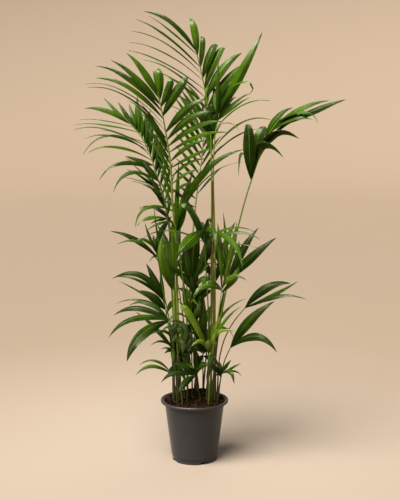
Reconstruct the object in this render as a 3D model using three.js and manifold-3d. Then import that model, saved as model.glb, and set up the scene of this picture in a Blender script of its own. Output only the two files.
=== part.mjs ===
// Potted palm: a clump of feather-leaved palm fronds growing in a round nursery pot.
// Millimetres. +Z is up, +X to the right and +Y to the back of the plant as it is seen
// from its front. The origin is the centre of the pot's underside.

import * as THREE from 'three';
import { mergeVertices } from 'three/addons/utils/BufferGeometryUtils.js';
import Module from 'manifold-3d';

const wasm = await Module();
wasm.setup();

// ---- Driving dimensions ----------------------------------------------------------

const GAP = 0.35; // between pieces that touch
const SIMPLEST = 0.1; // corners closer to a straight line than this are left out

const POT_HEIGHT = 220;
const RIM_RADIUS = 120; // outside of the rolled rim
const RIM_LIP = 11; // height of the rim's outer skirt
const RIM_WALL = 2.2;
const WALL_TOP_RADIUS = 106; // outside of the wall just under the rim
const WALL_FOOT_RADIUS = 81; // outside of the wall just above the base ring
const BASE_RING_RADIUS = 78;
const BASE_RING_HEIGHT = 16;
const WALL = 2.2;
const FLOOR = 3;
const POT_SIDES = 40;

const DRAIN_COUNT = 4;
const DRAIN_FIRST_ANGLE = THREE.MathUtils.degToRad(-72);
const DRAIN_WIDTH = 25;
const DRAIN_HEIGHT = 8;
const DRAIN_DEPTH = 10; // from the outside of the base ring inwards

const SOIL_LEVEL = 208; // at the wall
const MOUND_HEIGHT = 33;
const MOUND_CENTRE = [12, 46];
const MOUND_SPREAD = 47;
const LUMP_HEIGHT = 2.4;
const LUMP_WAVE = [0.118, 0.141]; // radians per millimetre along X and Y
const SOIL_RINGS = 5;
const SOIL_SIDES = 32;

const PLANTING_DEPTH = 60; // how deep a stem stands in the soil
const COLLAR = 12; // straight length of a stem above the soil

const STEM_SIDES = 5;
const STEM_STEP = 85; // length of one straight stretch of a stem's tube
const STEM_TIP_SHARE = 0.24; // tip diameter as a share of the foot diameter
const STEM_TIP_LEAST = 3.6;

const CREST_PLACE = 0.55; // where along its reach a leaflet arches highest
const BLADE_THICKNESS = 1.6; // along the midrib
const BLADE_FOLD = 0.24; // how far the midrib stands up, as a share of half the width
const BLADE_ROOT_WIDTH = 2.6;
const LONG_LEAFLET = 165; // a shorter one has fewer stations along its blade
const LONG_STATIONS = [[0.12, 0.55], [0.4, 1], [0.78, 0.66]]; // share of length, of width
const SHORT_STATIONS = [[0.18, 0.7], [0.58, 1]];

const SIDE_STEP = 12; // a leaflet in another's way moves its tip aside by this
const SIDE_TRIES = 9;
const LEAF_CLEARANCE = 1; // kept free on each face of a leaflet
const TUFT_STEP = 3; // between the roots of the single leaflets of one frond
const ROW_UNEVENNESS = 0.07; // leaflets in a row differ in length by up to this share

const CANE_DIAMETER = 8;
const CANE_FOOT = [70, -9];
const CANE_TOP = [62, 2, 1000];

const POT_BLACK = 0x26282b;
const SOIL_BROWN = 0x2b1b12;
const DRY_BROWN = 0x6b4a35;
const GREEN_DARK = 0x1f3d1c;
const GREEN_MID = 0x2d5424;
const GREEN_BRIGHT = 0x5d8a2e;
const PLASTIC_ROUGHNESS = 0.5;
const SOIL_ROUGHNESS = 0.95;
const DRY_ROUGHNESS = 0.7;
const LEAF_ROUGHNESS = 0.45;

// ---- The fronds --------------------------------------------------------------------
// foot: where the stem leaves the soil. stem: its diameter there. spine: the points its
// stem and midrib pass through. A leaflet is [height of its root on the spine, reach from
// root to tip, arch above the straight line, width, turn], where turn is 0 for a blade
// facing the sky, 1 for one facing the front and -1 for one facing the back. A row holds
// count leaflets, whose numbers run evenly between those of the leaflets in its list.

const FRONDS = [
  {
    name: 'frond_top',
    foot: [58, 34],
    stem: 11,
    colour: GREEN_DARK,
    spine: [
      [60, 44, 460], [60, 56, 750], [60, 72, 1030], [55, 80, 1185], [35, 75, 1315],
      [15, 65, 1405], [5, 55, 1445],
    ],
    rows: [
      {
        count: 11,
        leaves: [
          [1100, [-285, -45, 150], 90, 22, 0.1],
          [1285, [-270, -40, 175], 75, 26, 0.2],
          [1430, [-170, -10, 140], 25, 24, 0.5],
        ],
      },
      {
        count: 11,
        leaves: [
          [1100, [95, 145, 165], 30, 26, 0.6],
          [1300, [110, 115, 145], 45, 30, 0.6],
          [1430, [25, 50, 95], 5, 24, 0.8],
        ],
      },
    ],
    leaves: [
      [1450, [-20, 25, 120], -5, 28, 0.9],
      [1450, [-115, -25, 90], 15, 26, 0.9],
    ],
  },
  {
    name: 'frond_front',
    foot: [-50, 0],
    stem: 11,
    colour: GREEN_MID,
    spine: [
      [-55, -5, 365], [-60, -20, 585], [-65, -40, 800], [-75, -60, 940], [-80, -85, 1065],
      [-95, -110, 1175], [-110, -130, 1260], [-120, -140, 1310],
    ],
    rows: [
      {
        count: 8,
        leaves: [
          [1060, [-215, -70, 120], 60, 22, 0.4],
          [1170, [-250, -70, 155], 75, 26, 0.45],
          [1250, [-195, -60, 170], 60, 28, 0.6],
          [1300, [-110, -40, 150], 25, 30, 0.8],
        ],
      },
      {
        count: 11,
        leaves: [
          [1000, [115, -70, 70], 40, 22, 0.6],
          [1110, [185, -60, 145], 50, 27, 0.6],
          [1205, [100, -45, 170], 25, 30, 0.75],
          [1290, [25, -50, 115], 10, 28, 0.9],
        ],
      },
    ],
    leaves: [
      [1310, [-90, -10, 120], 10, 28, 0.9],
      [1310, [-20, -50, 80], 5, 24, 0.9],
      [1310, [10, -20, 75], 15, 24, 0.9],
    ],
  },
  {
    name: 'frond_left',
    foot: [-60, 22],
    stem: 11,
    colour: GREEN_DARK,
    spine: [
      [-65, 26, 430], [-70, 36, 605], [-80, 46, 785], [-105, 60, 925], [-130, 75, 1000],
      [-155, 90, 1080], [-185, 105, 1140], [-220, 120, 1180], [-250, 130, 1210],
    ],
    rows: [
      {
        count: 9,
        leaves: [
          [975, [-210, -75, -5], 95, 26, 0.3],
          [1060, [-245, -60, 45], 85, 26, 0.3],
          [1135, [-230, -50, 40], 50, 26, 0.3],
          [1205, [-150, -30, 30], 30, 24, 0.4],
        ],
      },
      {
        count: 10,
        leaves: [
          [980, [25, 85, 145], 0, 24, 0.6],
          [1135, [-15, 85, 140], 5, 26, 0.6],
          [1205, [-80, 50, 90], 0, 22, 0.6],
        ],
      },
    ],
    leaves: [[1210, [-135, -10, 30], 25, 26, 0.5]],
  },
  {
    name: 'frond_back',
    foot: [12, 48],
    stem: 10,
    colour: GREEN_DARK,
    spine: [
      [5, 62, 310], [-15, 92, 485], [-15, 132, 660], [0, 180, 855], [10, 206, 940],
      [25, 235, 1045], [35, 262, 1155], [40, 285, 1230],
    ],
    rows: [
      {
        count: 10,
        leaves: [
          [950, [-85, -20, 55], 10, 24, 0.5],
          [1120, [-100, 0, 160], 0, 28, 0.5],
          [1225, [-70, 15, 95], 5, 24, 0.5],
        ],
      },
      {
        count: 10,
        leaves: [
          [960, [75, 85, 80], -5, 24, 0.5],
          [1100, [65, 90, 125], -5, 28, 0.5],
          [1220, [65, 70, 100], 5, 24, 0.5],
        ],
      },
    ],
    leaves: [[1230, [10, 65, 95], -5, 26, 0.8]],
  },
  {
    name: 'frond_crown_right',
    foot: [74, 12],
    stem: 10,
    colour: GREEN_MID,
    spine: [
      [72, 22, 470], [72, 30, 755], [66, 36, 1015], [70, 40, 1135], [80, 40, 1205],
      [90, 40, 1245],
    ],
    leaves: [
      [1245, [140, 20, 250], -15, 30, 0.8],
      [1235, [95, -60, 40], 110, 20, 0.6],
      [1220, [95, 50, 75], 0, 18, 0.6],
      [1215, [165, -50, 60], 50, 20, 0.3],
      [1120, [190, -40, 95], 40, 20, 0.3],
      [1095, [145, -70, 95], 35, 20, 0.3],
      [1240, [-5, -40, 160], -10, 18, 0.4],
      [1235, [-15, 60, 105], -15, 20, 0.6],
      [1215, [75, -100, -35], 65, 16, 0.3],
    ],
  },
  {
    name: 'frond_right_arm',
    foot: [60, -17],
    stem: 10,
    colour: GREEN_MID,
    spine: [
      [70, -24, 330], [85, -32, 480], [110, -42, 625], [140, -50, 800], [175, -60, 945],
      [195, -60, 1010], [220, -60, 1085], [250, -60, 1160], [295, -55, 1225],
    ],
    leaves: [
      [1010, [-20, -40, 175], 0, 38, 0.9],
      [1025, [35, 40, 160], 0, 32, 0.9],
      [1035, [-50, -60, -20], 95, 22, 0.6],
      [1025, [90, -5, 200], 5, 42, 0.9],
      [1075, [115, 10, 165], 10, 36, 0.9],
      [1110, [110, 50, 140], 15, 32, 0.8],
      [1145, [120, -30, 125], 25, 26, 0.7],
      [1225, [205, 0, 65], 20, 32, 0.7],
      [1215, [195, 35, 45], 25, 22, 0.4],
      [1185, [155, -55, 40], 30, 20, 0.4],
      [1160, [110, 50, 15], 45, 20, 0.4],
    ],
  },
  {
    name: 'frond_left_arch',
    foot: [-72, -4],
    stem: 8,
    colour: GREEN_DARK,
    spine: [[-72, -15, 440], [-80, -30, 655], [-85, -45, 815], [-100, -60, 925], [-120, -75, 1010]],
    leaves: [
      [1005, [-150, -65, -40], 95, 24, 0.6],
      [990, [-90, -85, -85], 110, 24, 0.6],
      [960, [-135, 25, 90], 15, 20, 0.3],
      [945, [-120, -65, 75], 15, 18, 0.3],
      [975, [-10, 50, 130], -15, 20, 0.5],
      [925, [50, -50, 120], -10, 18, 0.5],
    ],
  },
  {
    name: 'frond_mid_upright',
    foot: [-25, -20],
    stem: 8,
    colour: GREEN_DARK,
    spine: [[-25, -30, 480], [-40, -45, 660], [-55, -55, 785], [-65, -60, 855]],
    leaves: [
      [850, [5, 20, 200], -5, 26, 0.7],
      [850, [50, -30, 205], -5, 26, 0.7],
      [845, [215, 0, 260], 90, 34, 0.7],
      [840, [230, -40, 235], 35, 18, 0.3],
      [850, [-130, -70, 30], 60, 18, 0.7],
      [845, [-140, 40, 70], 60, 16, 0.3],
      [840, [-65, -70, -95], 105, 24, 0.8],
    ],
  },
  {
    name: 'frond_centre_droop',
    foot: [44, -10],
    stem: 8,
    colour: GREEN_DARK,
    spine: [[50, -25, 440], [45, -45, 625], [35, -75, 750], [30, -100, 820]],
    leaves: [
      [820, [-145, 40, 180], 15, 26, 0.6],
      [815, [-55, -20, 140], 20, 28, 0.9],
      [815, [-90, -130, -30], 95, 34, -0.9],
      [810, [45, -140, -35], 95, 28, -0.9],
      [810, [125, -100, -90], 120, 28, -0.8],
      [815, [180, -40, 25], 50, 18, 0.4],
      [810, [180, 10, -10], 45, 18, 0.4],
      [820, [-15, -80, 75], 75, 24, 0.9],
    ],
  },
  {
    name: 'frond_young_split',
    foot: [-43, -36],
    stem: 7,
    colour: GREEN_BRIGHT,
    spine: [[-50, -41, 300], [-65, -50, 485], [-75, -55, 630]],
    leaves: [
      [625, [-25, -15, 220], -5, 42, 1],
      [625, [10, 15, 220], -5, 42, 1],
    ],
  },
  {
    name: 'frond_dark_cup',
    foot: [5, 15],
    stem: 7,
    colour: GREEN_DARK,
    spine: [[0, 5, 470], [0, -5, 615], [-5, -10, 675]],
    leaves: [
      [675, [20, -20, 155], 15, 44, 1],
      [675, [35, 30, 130], -10, 34, 1],
      [675, [-45, 50, 70], 0, 24, 0.7],
    ],
  },
  {
    name: 'frond_left_low_a',
    foot: [-62, 7],
    stem: 7,
    colour: GREEN_DARK,
    spine: [[-72, 2, 415], [-95, 5, 540], [-115, 5, 640], [-125, 5, 710], [-135, 0, 755]],
    leaves: [
      [710, [-155, -45, 120], 10, 22, 0.6],
      [720, [-140, 55, 45], 85, 20, 0.3],
      [750, [-35, 60, 95], -5, 18, 0.5],
      [755, [90, -60, 70], 70, 20, 0.5],
      [730, [45, 40, 140], 0, 28, 0.8],
      [730, [-55, -75, 85], 5, 22, 0.6],
    ],
  },
  {
    name: 'frond_left_low_b',
    foot: [-76, 16],
    stem: 7,
    colour: GREEN_DARK,
    spine: [[-80, 22, 375], [-95, 30, 495], [-110, 35, 580]],
    leaves: [
      [580, [-55, 25, 115], 0, 28, 0.8],
      [575, [-175, -35, 80], 80, 28, 0.7],
      [570, [-135, 45, 80], 70, 20, 0.5],
      [560, [-80, -65, 60], 50, 28, 0.8],
      [570, [-5, 55, 95], 0, 20, 0.6],
      [555, [-150, 25, 80], 5, 16, 0.3],
    ],
  },
  {
    name: 'frond_left_low_c',
    foot: [-61, -20],
    stem: 7,
    colour: GREEN_DARK,
    spine: [[-66, -25, 325], [-76, -40, 435], [-90, -55, 525]],
    leaves: [
      [525, [-185, 55, 50], 50, 20, 0.4],
      [525, [-135, -75, 60], 50, 20, 0.5],
      [520, [-190, -35, 20], 65, 28, 0.7],
      [520, [-200, -115, -35], 75, 24, 0.7],
      [515, [-140, -85, -120], 115, 42, 0.9],
      [525, [50, -75, 5], 55, 24, 0.6],
    ],
  },
  {
    name: 'frond_left_low_d',
    foot: [-45, 27],
    stem: 6,
    colour: GREEN_DARK,
    spine: [[-55, 31, 300], [-70, 32, 390]],
    leaves: [
      [390, [-90, -20, 55], 75, 26, 0.7],
      [385, [-80, -50, 40], 45, 20, 0.5],
      [385, [-55, 50, 0], 25, 20, 0.5],
      [385, [10, 30, 135], 0, 28, 0.8],
      [385, [65, -10, 55], 70, 28, 0.8],
    ],
  },
  {
    name: 'frond_left_low_e',
    foot: [-65, 44],
    stem: 6,
    colour: GREEN_MID,
    spine: [[-75, 47, 275], [-85, 50, 305]],
    leaves: [
      [305, [-120, 10, 15], 55, 16, 0.4],
      [300, [-125, -30, -5], 55, 18, 0.4],
      [305, [45, 60, 75], 15, 18, 0.5],
    ],
  },
  {
    name: 'frond_low_front',
    foot: [20, -20],
    stem: 6,
    colour: GREEN_DARK,
    spine: [[10, -30, 270], [0, -35, 325]],
    leaves: [
      [320, [-110, -45, -25], 50, 24, 0.7],
      [315, [-50, -60, -60], 50, 30, 0.9],
      [320, [-90, 35, 50], 35, 26, 0.8],
      [320, [65, -65, 45], 40, 24, 0.8],
      [320, [-30, -25, 110], 10, 22, 0.8],
    ],
  },
  {
    name: 'frond_low_right',
    foot: [80, -30],
    stem: 6,
    colour: GREEN_DARK,
    spine: [[87, -36, 275], [95, -40, 325]],
    leaves: [
      [320, [40, 50, 40], 10, 16, 0.5],
      [320, [60, -30, 50], 0, 16, 0.5],
      [320, [85, 0, -30], 50, 16, 0.5],
      [320, [35, -60, -25], 60, 20, 0.7],
      [320, [-65, -40, 50], 35, 20, 0.7],
      [320, [-50, -90, -20], 65, 32, 0.9],
      [320, [-20, 60, -40], 30, 18, 0.5],
    ],
  },
  {
    name: 'frond_right_low_pair',
    foot: [85, 0],
    stem: 7,
    colour: GREEN_MID,
    spine: [[88, 0, 260], [105, 0, 355], [130, -5, 415]],
    leaves: [
      [410, [150, -15, 160], -10, 36, 0.8],
      [410, [160, -55, -35], 120, 28, 0.7],
    ],
  },
  {
    name: 'frond_right_low_trio',
    foot: [82, 30],
    stem: 7,
    colour: GREEN_MID,
    spine: [[88, 30, 355], [108, 30, 435], [140, 32, 495], [180, 32, 545]],
    leaves: [
      [545, [155, 30, 75], 20, 30, 0.7],
      [540, [180, -20, 100], -15, 18, 0.4],
      [540, [205, -50, 50], 40, 20, 0.4],
    ],
  },
  {
    name: 'frond_right_mid',
    foot: [44, 40],
    stem: 8,
    colour: GREEN_DARK,
    spine: [[66, 58, 390], [90, 58, 495], [110, 55, 595], [125, 52, 655]],
    leaves: [
      [635, [95, 20, 185], -30, 28, 0.8],
      [625, [160, -20, 165], 0, 34, 0.8],
      [655, [-20, 30, 220], -15, 18, 0.5],
      [640, [-35, -30, 205], 0, 18, 0.5],
      [655, [20, -30, 195], -10, 22, 0.7],
      [605, [-10, -50, 190], -10, 24, 0.7],
      [605, [20, -60, 190], -10, 26, 0.8],
    ],
  },
  {
    name: 'frond_centre_right',
    foot: [50, -46],
    stem: 7,
    colour: GREEN_BRIGHT,
    spine: [[65, -60, 415], [85, -75, 560], [95, -85, 640]],
    leaves: [
      [640, [-105, -65, -30], 80, 24, 0.8],
      [640, [85, -35, 20], 45, 20, 0.7],
      [640, [-40, 55, -5], 40, 18, 0.6],
      [640, [15, 25, 160], -5, 28, 0.8],
    ],
  },
  {
    name: 'frond_young_pale',
    foot: [50, -29],
    stem: 6,
    colour: GREEN_BRIGHT,
    spine: [[50, -36, 300], [50, -41, 400]],
    leaves: [
      [400, [-140, -70, 125], 185, 30, 0.9],
      [400, [-75, -80, 40], 70, 24, 0.8],
      [410, [-20, -50, 75], 0, 32, 0.9],
      [410, [80, -70, 80], 55, 20, 0.7],
      [410, [130, 40, 175], 25, 16, 0.4],
      [410, [105, -30, 165], -10, 16, 0.4],
    ],
  },
  {
    name: 'frond_dark_centre',
    foot: [30, 30],
    stem: 6,
    colour: GREEN_DARK,
    spine: [[30, 35, 315], [30, 40, 395]],
    leaves: [
      [395, [0, -10, 185], -5, 32, 0.9],
      [390, [-40, -40, 145], -15, 32, 0.9],
      [395, [60, 20, 90], -5, 24, 0.7],
      [390, [-60, 70, 35], 5, 22, 0.6],
    ],
  },
  {
    name: 'frond_centre_left',
    foot: [-8, 0],
    stem: 7,
    colour: GREEN_DARK,
    spine: [[-10, -5, 400], [-15, -10, 515]],
    leaves: [
      [515, [0, -10, 185], -20, 24, 0.8],
      [515, [25, 30, 170], -15, 24, 0.8],
      [515, [-25, 60, 110], 0, 20, 0.6],
      [510, [40, -70, 45], 55, 20, 0.7],
      [510, [-50, -60, 5], 45, 20, 0.7],
    ],
  },
  {
    name: 'frond_back_left',
    foot: [-25, 50],
    stem: 8,
    colour: GREEN_DARK,
    spine: [[-30, 80, 380], [-50, 115, 555], [-75, 150, 675]],
    leaves: [
      [665, [-95, 50, 15], 55, 26, 0.2],
      [665, [-60, 70, 145], 15, 26, 0.2],
      [670, [20, 60, 150], 5, 26, 0.2],
      [665, [80, 80, 5], 75, 26, 0.2],
      [665, [20, 130, -40], 60, 24, 0],
    ],
  },
  {
    name: 'frond_back_right',
    foot: [32, 64],
    stem: 8,
    colour: GREEN_DARK,
    spine: [[44, 92, 375], [62, 130, 550], [85, 170, 685]],
    leaves: [
      [675, [105, 60, -5], 65, 26, 0.2],
      [675, [60, 70, 145], 5, 26, 0.2],
      [685, [-30, 60, 135], 10, 26, 0.2],
      [675, [-80, 80, -5], 65, 26, 0.2],
      [675, [30, 120, -90], 60, 24, 0],
    ],
  },
  {
    name: 'frond_back_low',
    foot: [0, 68],
    stem: 6,
    colour: GREEN_MID,
    spine: [[5, 96, 300], [10, 140, 420]],
    leaves: [
      [415, [-140, 60, -10], 65, 26, 0.2],
      [415, [-65, 90, 115], 15, 26, 0.2],
      [415, [65, 100, 110], 15, 26, 0.2],
      [415, [135, 70, -15], 65, 26, 0.2],
      [415, [15, 150, -70], 65, 26, 0],
    ],
  },
];

// Dry sheaths left standing where older fronds were cut away.
const OLD_BASES = [
  { name: 'old_leaf_base_a', foot: [-56, -8], top: [-62, -14, 300], diameter: 8 },
  { name: 'old_leaf_base_b', foot: [-36, 6], top: [-40, 2, 290], diameter: 8 },
];

// ---- Solids ------------------------------------------------------------------------

const UP = new THREE.Vector3(0, 0, 1);
const BACK = new THREE.Vector3(0, 1, 0);
const RIGHT = new THREE.Vector3(1, 0, 0);
const vector = (list) => new THREE.Vector3(...list);

function solidFrom(points, triangles) {
  return new wasm.Manifold(new wasm.Mesh({
    numProp: 3,
    vertProperties: Float32Array.from(points.flatMap((point) => point.toArray())),
    triVerts: Uint32Array.from(triangles.flat()),
  }));
}

function solidFromGeometry(geometry) {
  geometry.deleteAttribute('normal');
  geometry.deleteAttribute('uv');
  const merged = mergeVertices(geometry, 1e-3);
  const places = merged.getAttribute('position');
  const pointAt = (_, i) => new THREE.Vector3().fromBufferAttribute(places, i);
  const points = Array.from({ length: places.count }, pointAt);
  const triangles = [];
  for (let i = 0; i < merged.index.count; i += 3) {
    const corners = [0, 1, 2].map((k) => merged.index.getX(i + k));
    if (new Set(corners).size === 3) triangles.push(corners);
  }
  return solidFrom(points, triangles);
}

// The flat end of a loft, fanned from the ring's second point.
function endTriangles(first, sides, forward) {
  return Array.from({ length: sides - 2 }, (_, i) => {
    const near = first + ((2 + i) % sides);
    const far = first + ((3 + i) % sides);
    return forward ? [first + 1, near, far] : [first + 1, far, near];
  });
}

// A closed skin through rings of points that turn anticlockwise about the way forward.
// The last ring may be a single point. The second half of each ring splits its quads the
// other way, so that the two faces of a blade are split alike.
function loft(rings) {
  const sides = rings[0].length;
  const triangles = endTriangles(0, sides, false);
  for (let r = 0; r + 1 < rings.length; r++) {
    const near = r * sides;
    const far = near + sides;
    for (let k = 0; k < sides; k++) {
      const next = (k + 1) % sides;
      const [a, b, c, d] = [near + k, near + next, far + next, far + k];
      if (rings[r + 1].length === 1) triangles.push([a, b, far]);
      else if (k < sides / 2) triangles.push([a, b, c], [a, c, d]);
      else triangles.push([a, b, d], [b, c, d]);
    }
  }
  const last = (rings.length - 1) * sides;
  if (rings.at(-1).length > 1) triangles.push(...endTriangles(last, sides, true));
  return solidFrom(rings.flat(), triangles);
}

function ringAbout(centre, side, rise, radius, sides) {
  return Array.from({ length: sides }, (_, k) => {
    const angle = (2 * Math.PI * k) / sides;
    return centre.clone()
      .addScaledVector(side, radius * Math.cos(angle))
      .addScaledVector(rise, radius * Math.sin(angle));
  });
}

function post(foot, low, high, radius, sides) {
  return loft([low, high].map((z) => ringAbout(vector([...foot, z]), RIGHT, BACK, radius, sides)));
}

// The main body of a joined solid, without loose scraps or the skins of sealed hollows.
function wholeBody(solid) {
  return solid.decompose().reduce((a, b) => (a.volume() > b.volume() ? a : b));
}

function meshOf(name, solid, colour, roughness) {
  const { vertProperties, triVerts } = wholeBody(solid.simplify(SIMPLEST)).getMesh();
  const geometry = new THREE.BufferGeometry();
  geometry.setAttribute('position', new THREE.BufferAttribute(vertProperties, 3));
  geometry.setIndex(new THREE.BufferAttribute(triVerts, 1));
  const mesh = new THREE.Mesh(geometry, new THREE.MeshStandardMaterial({
    color: colour, roughness, metalness: 0, flatShading: true,
  }));
  mesh.name = name;
  return mesh;
}

// ---- Pot and soil ------------------------------------------------------------------

const wallRadiusAt = (z) => THREE.MathUtils.mapLinear(
  z, BASE_RING_HEIGHT, POT_HEIGHT - RIM_LIP, WALL_FOOT_RADIUS, WALL_TOP_RADIUS,
);

function potProfile() {
  const skirt = POT_HEIGHT - RIM_LIP;
  const rimInside = WALL_TOP_RADIUS + 1.5;
  return [
    [0, 0],
    [BASE_RING_RADIUS - 2, 0],
    [BASE_RING_RADIUS, 2],
    [BASE_RING_RADIUS, BASE_RING_HEIGHT - 1],
    [WALL_FOOT_RADIUS, BASE_RING_HEIGHT + 1],
    [WALL_TOP_RADIUS - 0.6, skirt - 7],
    [WALL_TOP_RADIUS + 1.4, skirt - 6],
    [WALL_TOP_RADIUS + 2.4, POT_HEIGHT - 5],
    [RIM_RADIUS - RIM_WALL, POT_HEIGHT - 4],
    [RIM_RADIUS - RIM_WALL, skirt],
    [RIM_RADIUS, skirt],
    [RIM_RADIUS, POT_HEIGHT - 2.5],
    [RIM_RADIUS - 2.5, POT_HEIGHT],
    [rimInside + 2, POT_HEIGHT],
    [rimInside, POT_HEIGHT - 2.5],
    [WALL_TOP_RADIUS - WALL, skirt - 7],
    [WALL_FOOT_RADIUS - WALL, BASE_RING_HEIGHT + 2],
    [BASE_RING_RADIUS - WALL, BASE_RING_HEIGHT],
    [BASE_RING_RADIUS - WALL, FLOOR],
    [0, FLOOR],
  ];
}

function makePot() {
  const profile = potProfile().map(([radius, z]) => new THREE.Vector2(radius, z));
  const turned = new THREE.LatheGeometry(profile, POT_SIDES).rotateX(Math.PI / 2);
  let pot = solidFromGeometry(turned);
  for (let i = 0; i < DRAIN_COUNT; i++) {
    const angle = DRAIN_FIRST_ANGLE + (i * 2 * Math.PI) / DRAIN_COUNT;
    const notch = new THREE.BoxGeometry(DRAIN_WIDTH, 2 * DRAIN_DEPTH, 2 * DRAIN_HEIGHT)
      .translate(0, -BASE_RING_RADIUS, 0)
      .rotateZ(angle);
    pot = pot.subtract(solidFromGeometry(notch));
  }
  return pot;
}

function soilHeight(x, y) {
  const away = ((x - MOUND_CENTRE[0]) ** 2 + (y - MOUND_CENTRE[1]) ** 2) / (2 * MOUND_SPREAD ** 2);
  const lump = Math.sin(LUMP_WAVE[0] * x + 1) * Math.cos(LUMP_WAVE[1] * y);
  return SOIL_LEVEL + MOUND_HEIGHT * Math.exp(-away) + LUMP_HEIGHT * lump;
}

function makeSoil() {
  const footRadius = BASE_RING_RADIUS - WALL - 2 * GAP;
  const topRadius = wallRadiusAt(SOIL_LEVEL - 8) - WALL - 3 * GAP;
  const flat = (radius, z) => ringAbout(new THREE.Vector3(0, 0, z), RIGHT, BACK, radius, SOIL_SIDES);
  const rings = [
    flat(footRadius, FLOOR + GAP),
    flat(footRadius, BASE_RING_HEIGHT + 2),
    flat(topRadius, SOIL_LEVEL - 8),
  ];
  for (let r = 0; r < SOIL_RINGS; r++) {
    const ring = flat(topRadius * (1 - r / SOIL_RINGS), 0);
    rings.push(ring.map((point) => point.setZ(soilHeight(point.x, point.y))));
  }
  rings.push([new THREE.Vector3(0, 0, soilHeight(0, 0))]);
  return loft(rings);
}

function stemHole(foot, radius) {
  const surface = soilHeight(...foot);
  return post(foot, surface - PLANTING_DEPTH - GAP, surface + 3 * COLLAR, radius + 1.2 * GAP, STEM_SIDES);
}

// ---- Fronds ------------------------------------------------------------------------

// A repeatable draw between -1 and 1.
function draw(seed) {
  const raw = Math.sin(seed * 12.9898) * 43758.5453;
  return 2 * (raw - Math.floor(raw)) - 1;
}

class Spine {
  constructor(frond) {
    this.low = vector([...frond.foot, soilHeight(...frond.foot) + COLLAR]);
    this.curve = new THREE.CatmullRomCurve3([this.low, ...frond.spine.map(vector)]);
    this.stretches = Math.max(4, Math.round(this.curve.getLength() / STEM_STEP));
    this.joints = this.curve.getSpacedPoints(this.stretches);
    this.footRadius = frond.stem / 2;
    this.tipRadius = Math.max(STEM_TIP_LEAST, frond.stem * STEM_TIP_SHARE) / 2;
  }

  atHeight(z) {
    const above = this.joints.findIndex((point) => point.z >= z);
    if (above < 0) return this.joints.at(-1).clone();
    const [a, b] = [this.joints[above - 1], this.joints[above]];
    return a.clone().lerp(b, (z - a.z) / (b.z - a.z));
  }

  solid() {
    const buried = this.low.clone().setZ(this.low.z - COLLAR - PLANTING_DEPTH);
    const rings = [ringAbout(buried, RIGHT, BACK, this.footRadius, STEM_SIDES)];
    this.joints.forEach((joint, i) => {
      const u = i / this.stretches;
      const way = i === 0 ? UP : this.curve.getTangentAt(u);
      const side = BACK.clone().cross(way).normalize();
      const radius = THREE.MathUtils.lerp(this.footRadius, this.tipRadius, u);
      rings.push(ringAbout(joint, side, way.clone().cross(side), radius, STEM_SIDES));
    });
    return loft(rings);
  }
}

// A leaflet arches along a parabola from root to tip. extra makes it stouter all round,
// to test the room about it.
function bladeSolid(root, leaflet, aside, extra = 0) {
  const { reach, arch, width, turn } = leaflet;
  const tip = root.clone().add(reach).addScaledVector(BACK, aside);
  const crest = root.clone().lerp(tip, CREST_PLACE).addScaledVector(UP, arch);
  const curve = new THREE.QuadraticBezierCurve3(root, crest, tip);
  const level = UP.clone().cross(tip.clone().sub(root)).normalize();
  const roll = rollTowards(curve.getTangent(0.5), level, new THREE.Vector3(0, -turn, 1.1 - Math.abs(turn)));
  const stations = reach.length() > LONG_LEAFLET ? LONG_STATIONS : SHORT_STATIONS;
  const rings = [[0, BLADE_ROOT_WIDTH / width], ...stations].map(([s, share]) => {
    const way = curve.getTangent(s);
    const side = level.clone().applyAxisAngle(way, roll);
    const rise = way.clone().cross(side);
    const half = (width * share) / 2 + extra;
    const fold = (BLADE_FOLD * half) / 2;
    const thick = BLADE_THICKNESS / 2 + extra;
    const at = (across, up) => curve.getPoint(s).addScaledVector(side, across).addScaledVector(rise, up);
    return [at(half, -fold), at(0, fold + thick), at(-half, -fold), at(0, fold - thick)];
  });
  return loft([...rings, [tip.addScaledVector(curve.getTangent(1), extra)]]);
}

// The turn about the way forward that brings a level blade's upper face nearest to a
// wanted facing.
function rollTowards(way, level, facing) {
  const rise = way.clone().cross(level);
  return Math.atan2(-facing.dot(level), facing.dot(rise));
}

function leafletFrom([height, reach, arch, width, turn]) {
  return { height, reach: vector(reach), arch, width, turn };
}

// The leaflets of a row, read off evenly between those it is given.
function rowLeaflets({ count, leaves }, seed) {
  const marks = leaves.map(leafletFrom);
  return Array.from({ length: count }, (_, i) => {
    const height = THREE.MathUtils.lerp(marks[0].height, marks.at(-1).height, i / (count - 1));
    const upper = Math.max(1, marks.findIndex((mark) => mark.height >= height));
    const [a, b] = [marks[upper - 1], marks[upper]];
    const share = (height - a.height) / (b.height - a.height);
    const between = (key) => THREE.MathUtils.lerp(a[key], b[key], share);
    const reach = a.reach.clone().lerp(b.reach, share).multiplyScalar(1 + ROW_UNEVENNESS * draw(seed + i));
    return { height, reach, arch: between('arch'), width: between('width'), turn: between('turn') };
  });
}

// The rows' leaflets and then the single ones, each a little below the one before.
function frondLeaflets(frond, number) {
  const rows = (frond.rows ?? []).flatMap((row, r) => rowLeaflets(row, 100 * number + 20 * r));
  const single = frond.leaves.map(leafletFrom);
  single.forEach((leaflet, i) => (leaflet.height -= TUFT_STEP * i));
  return [...rows, ...single];
}

function boxesMeet(a, b) {
  return [0, 1, 2].every((axis) => a.min[axis] <= b.max[axis] && b.min[axis] <= a.max[axis]);
}

class Crowd {
  constructor() {
    this.members = [];
  }

  add(name, solid) {
    this.members.push({ name, solid, box: solid.boundingBox() });
  }

  blocks(name, solid) {
    const box = solid.boundingBox();
    return this.members.some((member) => member.name !== name
      && boxesMeet(box, member.box)
      && solid.intersect(member.solid).volume() > 1e-3);
  }
}

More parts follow.
